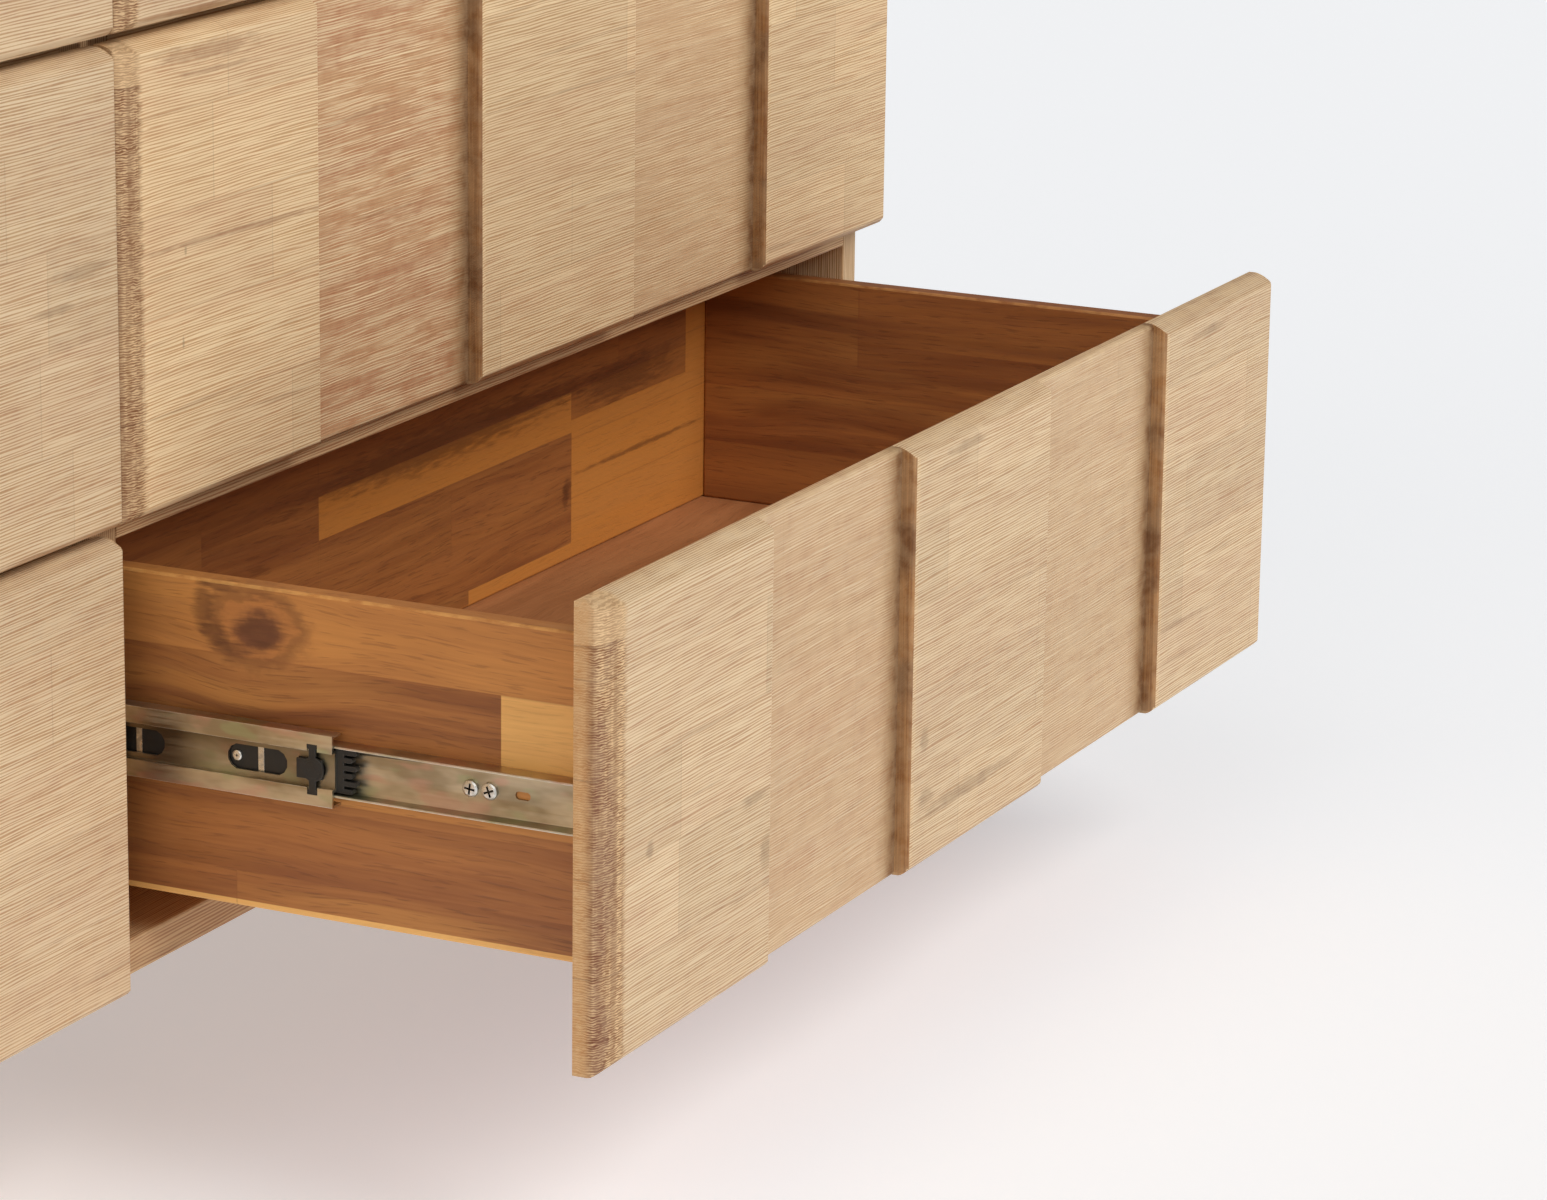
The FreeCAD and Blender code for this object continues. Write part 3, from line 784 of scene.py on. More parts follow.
@dataclass(frozen=True, kw_only=True)
class ZincSteel(Finish):
    """Zinc-plated sheet with a faint iridescent passivate, drawn along the runner, with painted shade and
    streaks of painted reflection on the carriages' sunk web.
    """

    wear: float = 0.7
    rough: Spot = (0.30, 0.46)
    relief: float = 0.12
    relief_depth: float = 0.0002
    base: Colour = paint(206, 194, 170)
    shadow: Colour = paint(162, 149, 124)
    rose: Colour = paint(206, 164, 148)
    green: Colour = paint(168, 180, 140)
    bright: Colour = paint(222, 218, 208)
    deep: Colour = paint(104, 92, 70)

    def material(self, name: str) -> Material:
        """Builds the material of the runners' sheet.

        Args:
            name: The material's name.

        Returns:
            The material.
        """
        s = Coat(name, Metallic=1.0)
        place = s.spot()
        drawn = place.noise((260, 14, 900), 3, 0.6)
        cloud = place.noise((30, 22, 60), 3, 0.6).step(0.38, 0.66)
        tint = (place + (3.1, 1.7, 0.4)).noise((26, 30, 75), 2, 0.6)
        colour = s.mix(cloud, self.base, self.shadow).tinted(tint.step(0.54, 0.64) * 0.52, self.rose)
        colour = colour.tinted(tint.fall(0.36, 0.47) * 0.48, self.green).shaded(drawn.between(0.86, 1.14))
        # Painted shade on the sunk web, broken by streaks of painted reflection.
        glint = place.noise((30, 11, 30), 2).step(0.40, 0.66)
        colour = colour.tinted(s.mark("sunk") * glint.between(0.85, 0.25), self.deep)
        rough = drawn.step(0.3, 0.7).between(*self.rough)
        return self.close(s, place, colour, self.bright, rough, drawn)


@dataclass(frozen=True, kw_only=True)
class BrightZinc(Finish):
    """Bright zinc of screw heads and rivets, a little dulled in places, with painted shade in the cross
    recesses.
    """

    wear: float = 0.6
    rough: Spot = (0.26, 0.42)
    relief: float = 0.1
    relief_depth: float = 0.0001
    base: Colour = paint(214, 212, 206)
    dull: Colour = paint(150, 146, 136)
    deep: Colour = paint(66, 61, 54)
    bright: Colour = paint(236, 234, 228)

    def material(self, name: str) -> Material:
        """Builds the material of the screw heads.

        Args:
            name: The material's name.

        Returns:
            The material.
        """
        s = Coat(name, Metallic=1.0)
        place = s.spot()
        spots = place.noise((420, 420, 420), 3, 0.6).step(0.40, 0.66)
        # Painted shade in the cross recesses.
        colour = s.mix(spots * 0.5, self.base, self.dull).tinted(s.mark("recess"), self.deep)
        return self.close(s, place, colour, self.bright, spots.between(*self.rough), spots)


@dataclass(frozen=True, kw_only=True)
class BlackPlastic(Finish):
    """Moulded black plastic with a fine spark texture and scuffed corners."""

    wear: float = 0.6
    rough: Spot = (0.52, 0.34)
    relief: float = 0.25
    relief_depth: float = 0.0001
    base: Colour = paint(19, 18, 17)
    scuffed: Colour = paint(60, 58, 54)

    def material(self, name: str) -> Material:
        """Builds the material of bumpers and glides.

        Args:
            name: The material's name.

        Returns:
            The material.
        """
        s = Coat(name, Specular_IOR_Level=0.5)
        place = s.spot()
        spark = place.noise((1500, 1500, 1500), 2, 0.6)
        grease = place.noise((110, 110, 110), 3, 0.6).step(0.44, 0.66)
        colour = s.mix(spark * 0.25, self.base, self.scuffed)
        return self.close(s, place, colour, self.scuffed, grease.between(*self.rough), spark)


# ------------------------------------------------------------------ meshes

def blank(*marks: str) -> BMesh:
    """Starts an empty shape whose faces carry wear and any other marks that are named."""
    bm = bmesh.new()
    for label in ("worn", *marks):
        bm.faces.layers.float.new(label)
    return bm


def only(kind: type, items: Iterable[object]) -> list:
    """Picks the vertices or the edges out of what an operator made."""
    return [item for item in items if isinstance(item, kind)]


def pour(made: BMesh, bm: BMesh) -> None:
    """Adds one shape to another and frees it.

    Args:
        made: The shape that is added.
        bm: The shape that gets it.
    """
    mesh = bpy.data.meshes.new("poured")
    made.to_mesh(mesh)
    made.free()
    bm.from_mesh(mesh)
    bpy.data.meshes.remove(mesh)


def merged_copy(node: str) -> BMesh:
    """Copies a node's mesh with its loose triangles merged and its flat faces joined.

    Args:
        node: The model's node.

    Returns:
        The merged copy, with a layer for wear.
    """
    bm = bmesh.new()
    bm.from_mesh(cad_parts[node].data)
    bmesh.ops.remove_doubles(bm, verts=bm.verts, dist=2e-6)
    bmesh.ops.dissolve_limit(bm, angle_limit=math.radians(0.8), verts=bm.verts, edges=bm.edges)
    bm.faces.layers.float.new("worn")
    return bm


def rounded(bm: BMesh, edges: list[BMEdge], radius: float, segments: int = 2, wear: float = 1.0) -> None:
    """Rounds edges of a shape and marks how worn the new faces are.

    Args:
        bm: The shape.
        edges: The edges to round.
        radius: The rounding.
        segments: Faces across the rounding.
        wear: The mark that the new faces get.
    """
    made = bmesh.ops.bevel(bm, geom=edges, offset=radius, offset_type="OFFSET", segments=segments,
                           profile=0.5, affect="EDGES", clamp_overlap=True, material=-1)
    worn = bm.faces.layers.float["worn"]
    for face in made["faces"]:
        face[worn] = wear


def ease(bm: BMesh, radius: float, shortest: float, segments: int = 2) -> None:
    """Rounds the long outer edges of a shape.

    Args:
        bm: The shape.
        radius: The rounding.
        shortest: Edges below this length stay as they are.
        segments: Faces across the rounding.
    """
    edges = [edge for edge in bm.edges if len(edge.link_faces) == 2 and edge.calc_length() >= shortest
             and edge.calc_face_angle(0.0) > math.radians(35) and edge.is_convex]
    rounded(bm, edges, radius, segments)


def extent(verts: Iterable[BMVert]) -> tuple[Vector, Vector]:
    """Works out the lowest and highest corners of some vertices."""
    spans = list(zip(*(vert.co for vert in verts)))
    return Vector([min(span) for span in spans]), Vector([max(span) for span in spans])


def islands(bm: BMesh) -> list[tuple[list[BMVert], Vector, Vector]]:
    """Splits a shape into its separate closed parts, in the order of their places.

    Args:
        bm: The shape.

    Returns:
        The vertices of each part, and its lowest and highest corners.
    """
    left, found = dict.fromkeys(bm.verts), []
    while left:
        part, reached = [], [left.popitem()[0]]
        while reached:
            vert = reached.pop()
            part.append(vert)
            for edge in vert.link_edges:
                other = edge.other_vert(vert)
                if other in left:
                    del left[other]
                    reached.append(other)
        found.append((part, *extent(part)))
    return sorted(found, key=lambda item: [round(level, 4) for level in item[1]])


def arc(centre: Spot, radii: Spot, start: float, end: float, steps: int) -> list[Spot]:
    """Works out the points of an arc, both ends included.

    Args:
        centre: The arc's centre.
        radii: Its reach along each axis.
        start: The angle of its first point in degrees.
        end: The angle of its last point.
        steps: How many runs it has.

    Returns:
        The points.
    """
    angles = [math.radians(start + (end - start) * step / steps) for step in range(steps + 1)]
    return [(centre[0] + radii[0] * math.cos(angle), centre[1] + radii[1] * math.sin(angle))
            for angle in angles]


def finished(name: str, bm: BMesh, material: Material, body: str,
             nodes: Iterable[str] = (), crease: float = 32.0) -> bpy.types.Object:
    """Turns a bmesh into a piece that rides on its body.

    Args:
        name: The piece's name.
        bm: The shape, which is freed here.
        material: Its finish.
        body: The body it rides on.
        nodes: The model's nodes that the piece stands for.
        crease: The angle in degrees above which an edge shows sharp.

    Returns:
        The piece's object.
    """
    mesh = bpy.data.meshes.new(name)
    for face in bm.faces:
        face.smooth = True
    bm.to_mesh(mesh)
    bm.free()
    mesh.set_sharp_from_angle(angle=math.radians(crease))
    mesh.materials.append(material)
    piece = bpy.data.objects.new(name, mesh)
    bpy.context.scene.collection.objects.link(piece)
    even = piece.modifiers.new("even_normals", "WEIGHTED_NORMAL")
    even.keep_sharp = True
    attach(piece, body)
    if nodes:
        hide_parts(*nodes)
    log.info("%s: %d faces", name, len(mesh.polygons))
    return piece


@dataclass
class ScrewHead:
    """A pan head with a cross recess."""

    radius: float = 0.0042
    height: float = 0.0020
    sides: int = 24
    crown: tuple[Spot, ...] = ((1.0, 0.45), (0.95, 0.28), (0.84, 0.19), (0.82, 0.08))
    arm: float = 0.0027
    arm_width: float = 0.0010
    recess: float = 0.0013

    def _cross(self) -> list[Spot]:
        """Lists the twelve corners of the cross, one arm after the other."""
        half = self.arm_width / 2
        arm, corners = [(self.arm, -half), (self.arm, half), (half, half)], []
        for _ in range(4):
            corners += arm
            arm = [(-y, x) for x, y in arm]
        return corners

    def _master(self) -> BMesh:
        """Builds one head about the origin, facing +Z."""
        bm = blank("recess")
        rim = bmesh.ops.create_circle(bm, segments=self.sides, radius=self.radius)["verts"]
        ring = list(dict.fromkeys(edge for vert in rim for edge in vert.link_edges))
        for scale, rise in self.crown:
            grown = bmesh.ops.extrude_edge_only(bm, edges=ring)["geom"]
            verts = only(BMVert, grown)
            bmesh.ops.translate(bm, vec=(0, 0, rise * self.height), verts=verts)
            bmesh.ops.scale(bm, vec=(scale, scale, 1), verts=verts)
            ring = [edge for edge in only(BMEdge, grown) if all(vert in verts for vert in edge.verts)]
        verts = [bm.verts.new((x, y, self.height)) for x, y in self._cross()]
        cross = [bm.edges.new((verts[index - 1], verts[index])) for index in range(len(verts))]
        bmesh.ops.bridge_loops(bm, edges=ring + cross)
        depth = bmesh.ops.extrude_edge_only(bm, edges=cross)["geom"]
        floor = only(BMVert, depth)
        bmesh.ops.translate(bm, vec=(0, 0, -self.recess), verts=floor)
        bmesh.ops.scale(bm, vec=(0.7, 0.7, 1), verts=floor)
        bmesh.ops.holes_fill(bm, edges=[edge for edge in only(BMEdge, depth) if edge.is_boundary], sides=0)
        bmesh.ops.recalc_face_normals(bm, faces=bm.faces)
        worn, recess = (bm.faces.layers.float[label] for label in ("worn", "recess"))
        for face in bm.faces:
            low, high = extent(face.verts)
            inside = (low.z < self.height - self.recess / 2
                      and max(map(abs, (*low.xy, *high.xy))) < self.arm * 1.01)
            raised = face.calc_center_median().z > self.height * 0.6
            face[worn] = 1.0 if raised and not inside else 0.0
            face[recess] = 1.0 if inside else 0.0
        return bm

    def add(self, bm: BMesh, seat: Point, outward: float, turn: float) -> None:
        """Adds a head to a shape.

        Args:
            bm: The shape that gets the head.
            seat: The middle of the head's underside.
            outward: The sign of X that the head faces.
            turn: The angle of its cross recess, in radians.
        """
        head = self._master()
        head.transform(Matrix.Translation(seat) @ Matrix.Rotation(math.radians(90) * outward, 4, "Y")
                       @ Matrix.Rotation(turn, 4, "Z"))
        pour(head, bm)

    def in_place_of(self, heads: Iterable[tuple[Vector, Vector]], faces_right: Callable[[float], bool],
                    turn: float, step: float) -> BMesh:
        """Builds a shape with one head in place of each plain one.

        Args:
            heads: The lowest and highest corners of the plain heads.
            faces_right: Tells from a head's X whether it faces +X.
            turn: The turn of the first cross, in radians.
            step: How much further each next one is turned.

        Returns:
            The shape.
        """
        caps = blank()
        for index, (low, high) in enumerate(heads):
            centre = (low + high) / 2
            outward = 1.0 if faces_right(centre.x) else -1.0
            self.add(caps, (low.x if outward > 0 else high.x, *centre.yz), outward, turn + index * step)
        return caps


def eased_copy(node: str, name: str, material: Material, body: str, easing: float,
               shortest: float, segments: int = 2) -> bpy.types.Object:
    """Builds one node as a copy with rounded edges.

    Args:
        node: The model's node.
        name: The piece's name.
        material: Its finish.
        body: The body it rides on.
        easing: The rounding of its edges.
        shortest: Edges below this length stay as they are.
        segments: Faces across the rounding.

    Returns:
        The piece's object.
    """
    bm = merged_copy(node)
    ease(bm, easing, shortest, segments)
    return finished(name, bm, material, body, [node])


# ------------------------------------------------------------------ the chest's parts

@dataclass(frozen=True)
class Hardware:
    """The materials that all runners, screws, bumpers and glides share."""

    steel: Material
    zinc: Material
    plastic: Material


@dataclass
class DrawerPart:
    """Something that belongs to one of the six drawers."""

    row: Row
    column: Column

    @property
    def name(self) -> str:
        """The drawer's name, with which the names of its nodes and pieces start."""
        return f"{self.row.value}_{self.column.value}"


@dataclass
class BlockFront(DrawerPart):
    """One drawer's front: three raised blocks and two sunk bays cut from one board."""

    blocks: tuple[Spot, ...] = ((0.0, 0.176), (0.3385, 0.5105), (0.673, 0.835))
    width: float = 0.835
    height: float = 0.224
    thickness: float = 0.015
    bay_depth: float = 0.009
    arris: float = 0.0036
    end_length: float = 0.028
    end_depth: float = 0.0055
    top_drop: float = 0.005
    top_bend: float = 0.0024
    bottom_bevel: float = 0.005
    rim: float = 0.0022
    arc_steps: int = 10
    rim_steps: int = 5
    bay_border: float = 0.002
    cheek_reach: float = 0.005
    cheek_turn: float = 0.72
    arris_turn: float = 0.20

    def _turn(self, centre: Spot, radii: Spot, start: float, end: float) -> list[Spot]:
        """Works out an arc of the plan, turning from +X towards +Y."""
        return arc(centre, radii, start, end, self.arc_steps)

    def _plan(self) -> list[Spot]:
        """Lists the plan's front outline, from the left end's back edge to the right end's."""
        arris, floor = self.arris, self.bay_depth
        end_size = (self.end_length, self.end_depth)
        points = [(0.0, self.thickness), *self._turn(end_size, end_size, 180, 270)]
        for index, (start, end) in enumerate(self.blocks):
            if index:
                points += [(start - self.bay_border, floor), (start, floor)]
                points += self._turn((start + arris, arris), (arris, arris), 180, 270)
            points += self._turn((end - arris, arris), (arris, arris), 270, 360)
            if index < len(self.blocks) - 1:
                points += [(end, floor), (end + self.bay_border, floor)]
        return points + [(self.width, self.thickness)]

    def _levels(self) -> list[Point]:
        """Lists the heights at which the plan changes, from the bottom up.

        Returns:
            For each level its height, how far back the blocks' face lies there at least, and how far
            the rounded rim draws everything back.
        """
        bevel, drop, floor, rim = self.bottom_bevel, self.top_drop, self.bay_depth, self.rim
        turns = [math.radians(90 * step / self.rim_steps) for step in range(self.rim_steps + 1)]
        levels = []
        for turned in turns:
            up = rim * (1 - math.cos(turned))
            levels.append((up, max(0.0, bevel - up), rim * (1 - math.sin(turned))))
        levels += [(bevel * 0.8 + 0.4 * bevel * part, bevel * 0.2 * (1 - part) ** 2, 0.0)
                   for part in (0, 0.25, 0.5, 1)]
        bend = self.top_bend
        start = self.height - drop - bend / 2
        levels += [(start + bend * part, bend * part * part * floor / drop / 2, 0.0)
                   for part in (0, 0.35, 0.7, 1)]
        for turned in turns:
            up = self.height - rim * (1 - math.sin(turned))
            levels.append((up, (up - self.height + drop) * floor / drop, rim * (1 - math.cos(turned))))
        return levels

    def _push_up(self, bm: BMesh) -> None:
        """Pushes the plan up from level to level and closes both ends."""
        worn = bm.faces.layers.float["worn"]
        plan = self._plan()
        ring = [bm.verts.new((x, y, 0.0)) for x, y in plan]
        edges = [bm.edges.new((ring[index - 1], ring[index])) for index in range(len(ring))]
        home = dict(zip(ring, plan))
        for number, (height, least, draw) in enumerate(self._levels()):
            if number:
                grown = bmesh.ops.extrude_edge_only(bm, edges=edges)["geom"]
                edges = [edge for edge in only(BMEdge, grown)
                         if edge not in edges and all(vert not in home for vert in edge.verts)]
                home = {vert: home[below] for vert in only(BMVert, grown) for edge in vert.link_edges
                        if (below := edge.other_vert(vert)) in home}
            for vert, (x, y) in home.items():
                back = y > self.thickness - 0.0005
                vert.co = (x, y if back else max(y, least) + draw, height)
            if draw > 0 or least > 0:
                for face in dict.fromkeys(face for vert in home for face in vert.link_faces):
                    face[worn] = 1.0 if draw > 0 else 0.5
        bmesh.ops.remove_doubles(bm, verts=bm.verts, dist=1e-5)
        bmesh.ops.dissolve_degenerate(bm, dist=1e-6, edges=bm.edges)
        bmesh.ops.holes_fill(bm, edges=[edge for edge in bm.edges if edge.is_boundary], sides=0)
        bmesh.ops.recalc_face_normals(bm, faces=bm.faces)

    def _mark_cheeks(self, bm: BMesh) -> None:
        """Marks the faces of the steps between blocks and bays."""
        cheek, worn = (bm.faces.layers.float[label] for label in ("cheek", "worn"))
        steps = [x for block in self.blocks for x in block if 0.001 < x < self.width - 0.001]
        for face in bm.faces:
            across, turned = face.calc_center_median().x, abs(face.normal.x)
            if min(abs(across - x) for x in steps) >= self.cheek_reach:
                continue
            if turned > self.cheek_turn:
                face[cheek] = 1.0
            elif turned > self.arris_turn:
                face[worn] = 0.9

    def build(self, wood: BlockFrontWood) -> bpy.types.Object:
        """Builds and dresses the front.

        Args:
            wood: Its finish, whose seat is moved to the front's corner.

        Returns:
            The front's piece.
        """
        node = self.name + "_front"
        corner = tuple(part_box(node)[0])
        bm = blank("cheek")
        self._push_up(bm)
        self._mark_cheeks(bm)
        bmesh.ops.translate(bm, vec=corner, verts=bm.verts)
        wood = replace(wood, width=self.width, thickness=self.thickness,
                       seat=replace(wood.seat, corner=corner))
        return finished(node + "_board", bm, wood.material("brushed_" + node), self.name + "_drawer",
                        [node])


@dataclass
class DrawerBox(DrawerPart):
    """A drawer's box: two tailed sides, its ends and a thin bottom."""

    marks: dict[str, dict[str, tuple[Mark, ...]]] = field(default_factory=dict)
    easing: float = 0.0014
    shortest: float = 0.05
    parts: tuple[tuple[str, Grain, float], ...] = (
        ("side_inner", Grain.ALONG_Y, 0.1), ("side_outer", Grain.ALONG_Y, 0.2),
        ("box_ends", Grain.ALONG_X, 0.3), ("bottom_board", Grain.ALONG_X_FLAT, 0.4))

    def build(self, effects: Effects, seed: float) -> None:
        """Builds and dresses the box's boards.

        Args:
            effects: The shared shader groups.
            seed: What sets this box's pattern apart from the others'.
        """
        low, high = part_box(self.name + "_front")
        for part, grain, shift in self.parts:
            node = f"{self.name}_{part}"
            seat = Seat((low.x, high.y, low.z), grain, seed + shift)
            if part == "bottom_board":
                slot, finish = "box_board", ThinBoard(effects=effects, seat=seat)
            else:
                looks = {**BOX_SAPWOODS.get(part, {}), **self.marks.get(part, {})}
                slot, finish = "box_wood", OiledWood(effects=effects, seat=seat, **looks)
            eased_copy(node, node + "_wood", finish.material("oiled_" + node), self.name + "_drawer",
                       self.easing, self.shortest)


@dataclass
class PlasticStop:
    """The bumper in a carriage's mouth: a comb of teeth, and a star that shows in the web."""

    overhang: float = 0.011
    star_centre: float = 0.0108
    plate: float = 0.0034
    depth: float = 0.0037
    star_plate: float = 0.0012
    overlap: float = 0.0002
    half_height: float = 0.01075
    teeth: int = 6
    tooth_gap: float = 0.0012
    tooth_stagger: float = 0.0022
    tooth_corner: Spot = (0.0007, 0.0009)
    root_share: float = 0.62
    arm_tip: float = 0.01225
    tip_half: float = 0.0031
    neck_half: float = 0.0019
    notch: float = 0.0015
    flare: float = 0.0026
    hub_radius: float = 0.0060
    hub_steps: int = 10
    lug: float = 0.0085
    lug_half: float = 0.0048
    cap_radius: float = 0.0044
    cap_rise: float = 0.00012
    pip_radius: float = 0.0006
    pip_shift: float = 0.0018
    pip_rise: float = 0.0002
    easing: float = 0.0003

    def _star(self) -> list[Spot]:
        """Lists the star's outline about its centre: backward and up."""
        start = math.asin(self.neck_half / self.hub_radius)
        neck = self.hub_radius * math.cos(start)
        rear = [(self.lug, 0.0), (self.lug, self.lug_half), (self.neck_half + self.notch, self.lug_half)]
        arm = [(self.neck_half, neck), (self.neck_half, self.arm_tip - self.flare),
               (self.tip_half, self.arm_tip - self.flare * 0.7), (self.tip_half, self.arm_tip)]
        upper = rear + arm + [(-along, up) for along, up in reversed(arm)]
        turn = math.radians(90) - start
        for step in range(1, self.hub_steps + 1):
            angle = math.radians(90) + start + turn * step / self.hub_steps
            upper.append((self.hub_radius * math.cos(angle), self.hub_radius * math.sin(angle)))
        return upper + [(along, -up) for along, up in reversed(upper[1:-1])]

    def _comb(self, length: float) -> list[Spot]:
        """Lists the comb's outline from its front edge: backward and up, teeth of uneven length."""
        pitch = (2 * self.half_height + self.tooth_gap) / self.teeth
        root, (back, down) = self.overhang * self.root_share, self.tooth_corner
        points = [(length, self.half_height)]
        for tooth in range(self.teeth):
            high = self.half_height - tooth * pitch
            low = high - pitch + self.tooth_gap
            tip = 0.0 if tooth % 2 == 0 else self.tooth_stagger
            points += [(tip + back, high), (tip, high - down), (tip, low + down), (tip + back, low)]
            if tooth < self.teeth - 1:
                points += [(root, low), (root, low - self.tooth_gap)]
        return points + [(length, -self.half_height)]

    def _add(self, bm: BMesh, outline: list[Spot], near: float, thick: float) -> None:
        """Pushes an outline through its thickness and eases its edges.

        Args:
            bm: The shape that gets it, in inward, backward and up axes.
            outline: Backward and up.
            near: How far inward its outer face lies.
            thick: How thick it is.
        """
        plate = blank()
        face = plate.faces.new([plate.verts.new((near, along, up)) for along, up in outline])
        grown = bmesh.ops.extrude_face_region(plate, geom=[face])["geom"]
        bmesh.ops.translate(plate, vec=(thick, 0, 0), verts=only(BMVert, grown))
        bmesh.ops.recalc_face_normals(plate, faces=plate.faces)
        rounded(plate, [edge for edge in plate.edges if edge.is_convex], self.easing)
        pour(plate, bm)

    def add(self, bm: BMesh, face: Point, length: float, inward: float) -> None:
        """Adds one bumper to a shape.

        Args:
            bm: The shape that gets the bumper.
            face: The middle of the front edge, on the outermost face.
            length: How long the bumper is.
            inward: The sign of X from the carcase to the drawer.
        """
        made = blank()
        self._add(made, self._comb(length), self.depth, self.plate)
        centre = self.overhang + self.star_centre
        self._add(made, [(centre + along, up) for along, up in self._star()], 0.0, self.star_plate)
        reach = self.hub_radius * 0.8
        self._add(made, [(centre - reach, -reach), (centre + reach, -reach), (centre + reach, reach),
                         (centre - reach, reach)],
                  self.star_plate - self.overlap, self.depth - self.star_plate + 2 * self.overlap)
        for radius, shift, rise in ((self.cap_radius, 0.0, self.cap_rise),
                                    (self.pip_radius, self.pip_shift, self.pip_rise),
                                    (self.pip_radius, -self.pip_shift, self.pip_rise)):
            disc = arc((centre + shift, 0.0), (radius, radius), 0, 345, 23)
            self._add(made, disc, -rise, rise + self.overlap)
        bmesh.ops.scale(made, vec=(inward, 1, 1), verts=made.verts)
        bmesh.ops.translate(made, vec=face, verts=made.verts)
        bmesh.ops.recalc_face_normals(made, faces=made.faces)
        pour(made, bm)


@dataclass
class DrawerRunners(DrawerPart):
    """What moves of a drawer's two runners: drawer members, carriages and their bumpers."""

    bend: float = 0.0005
    largest_head: float = 0.012
    head: ScrewHead = field(default_factory=ScrewHead)
    rivet: ScrewHead = field(default_factory=lambda: ScrewHead(
        radius=0.0026, height=0.0012, arm=0.0005, arm_width=0.0006, recess=0.0002))
    stop: PlasticStop = field(default_factory=PlasticStop)
    web_depth: float = 0.0040
    web_half: float = 0.0092
    slot_start: float = 0.0254
    slot_length: float = 0.0326
    slot_pitch: float = 0.067
    cage_start: float = 0.021
    cage_end: float = 0.009
    cage_half: float = 0.0074
    cage_sheet: float = 0.0008
    cage_inset: float = 0.0004
    tab_place: float = 0.42
    tab_length: float = 0.0032
    tab_sheet: float = 0.0003
    tab_inset: float = 0.0001
    rivet_back: float = 0.0045
    rivet_turn: float = 0.6
    first_turn: float = 0.35
    turn_step: float = 1.1

    def _sheet(self, node: str) -> tuple[BMesh, list[tuple[Vector, Vector]]]:
        """Copies the sheet of a node with rounded bends, and takes off its small heads.

        Args:
            node: The model's node.

        Returns:
            The sheet, and the lowest and highest corners of each head.
        """
        bm = merged_copy(node)
        heads = []
        for part, low, high in islands(bm):
            if max(high - low) < self.largest_head:
                heads.append((low, high))
                bmesh.ops.delete(bm, geom=part, context="VERTS")
        ease(bm, self.bend, 0.02)
        # Marks the sunk web, which the steel's finish paints with shade and streaks of reflection.
        sunk = bm.faces.layers.float.new("sunk")
        low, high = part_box(node)
        level = (low.z + high.z) / 2
        for face in bm.faces:
            across = all(abs(vert.co.z - level) < self.web_half for vert in face.verts)
            face[sunk] = 1.0 if across and high.z - low.z > 0.03 and abs(face.normal.x) > 0.5 else 0.0
        return bm, heads

    def build(self, hardware: Hardware) -> None:
        """Builds and dresses the runners' moving members.

        Args:
            hardware: The shared materials.
        """
        name, drawer, carriage = self.name, self.name + "_drawer", self.name + "_carriage"
        bm, heads = self._sheet(name + "_runners")
        finished(name + "_drawer_members", bm, hardware.steel, drawer, [name + "_runners"])
        low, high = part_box(name + "_front")
        middle = (low.x + high.x) / 2
        caps = self.head.in_place_of(heads, lambda x: x > middle, self.first_turn, self.turn_step)
        finished(name + "_drawer_screws", caps, hardware.zinc, drawer)
        bm, _ = self._sheet(name + "_carriages")
        finished(name + "_carriage_members", bm, hardware.steel, carriage,
                 [name + "_carriages"])
        bm = blank()
        low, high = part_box(name + "_bumpers")
        for across, inward in ((low.x, 1.0), (high.x, -1.0)):
            self.stop.add(bm, (across, low.y, (low.z + high.z) / 2), high.y - low.y, inward)
        finished(name + "_bumper_mouldings", bm, hardware.plastic, carriage,
                 [name + "_bumpers"])
        self._cages(hardware)

    def _cages(self, hardware: Hardware) -> None:
        """Builds the ball cages that show through the carriages' slots, with their tabs and rivets."""
        low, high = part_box(self.name + "_carriages")
        cages, tabs = blank(), blank()
        level = (low.z + high.z) / 2
        bottom, tall = level - self.cage_half, 2 * self.cage_half
        for across, inward in ((low.x, 1.0), (high.x, -1.0)):
            depth = across + inward * self.web_depth
            inset = depth + inward * self.cage_inset
            self._slab(cages, (inset, low.y + self.cage_start, bottom),
                       (inward * self.cage_sheet, self.slot_pitch + self.slot_length + self.cage_end, tall))
            for slot in range(2):
                start = low.y + self.slot_start + slot * self.slot_pitch
                corner = (depth + inward * self.tab_inset, start + self.slot_length * self.tab_place, bottom)
                self._slab(tabs, corner, (inward * self.tab_sheet, self.tab_length, tall))
                seat = (inset, start + self.slot_length - self.rivet_back, level)
                self.rivet.add(tabs, seat, -inward, self.rivet_turn)
        carriage = self.name + "_carriage"
        finished(self.name + "_ball_cages", cages, hardware.plastic, carriage)
        finished(self.name + "_cage_tabs", tabs, hardware.zinc, carriage)

    @staticmethod
    def _slab(bm: BMesh, corner: Point, reach: Point) -> None:
        """Adds a thin eased slab.

        Args:
            bm: The shape that gets the slab.
            corner: One of its corners.
            reach: How far it reaches from that corner along each axis.
        """
        made = bmesh.ops.create_cube(bm, size=1.0)["verts"]
        bmesh.ops.translate(bm, vec=(0.5, 0.5, 0.5), verts=made)
        bmesh.ops.scale(bm, vec=reach, verts=made)
        bmesh.ops.translate(bm, vec=corner, verts=made)
        faces = list(dict.fromkeys(face for vert in made for face in vert.link_faces))
        bmesh.ops.recalc_face_normals(bm, faces=faces)
        edges = list(dict.fromkeys(edge for face in faces for edge in face.edges))
        rounded(bm, edges, min(abs(size) for size in reach) * 0.3, wear=0.0)


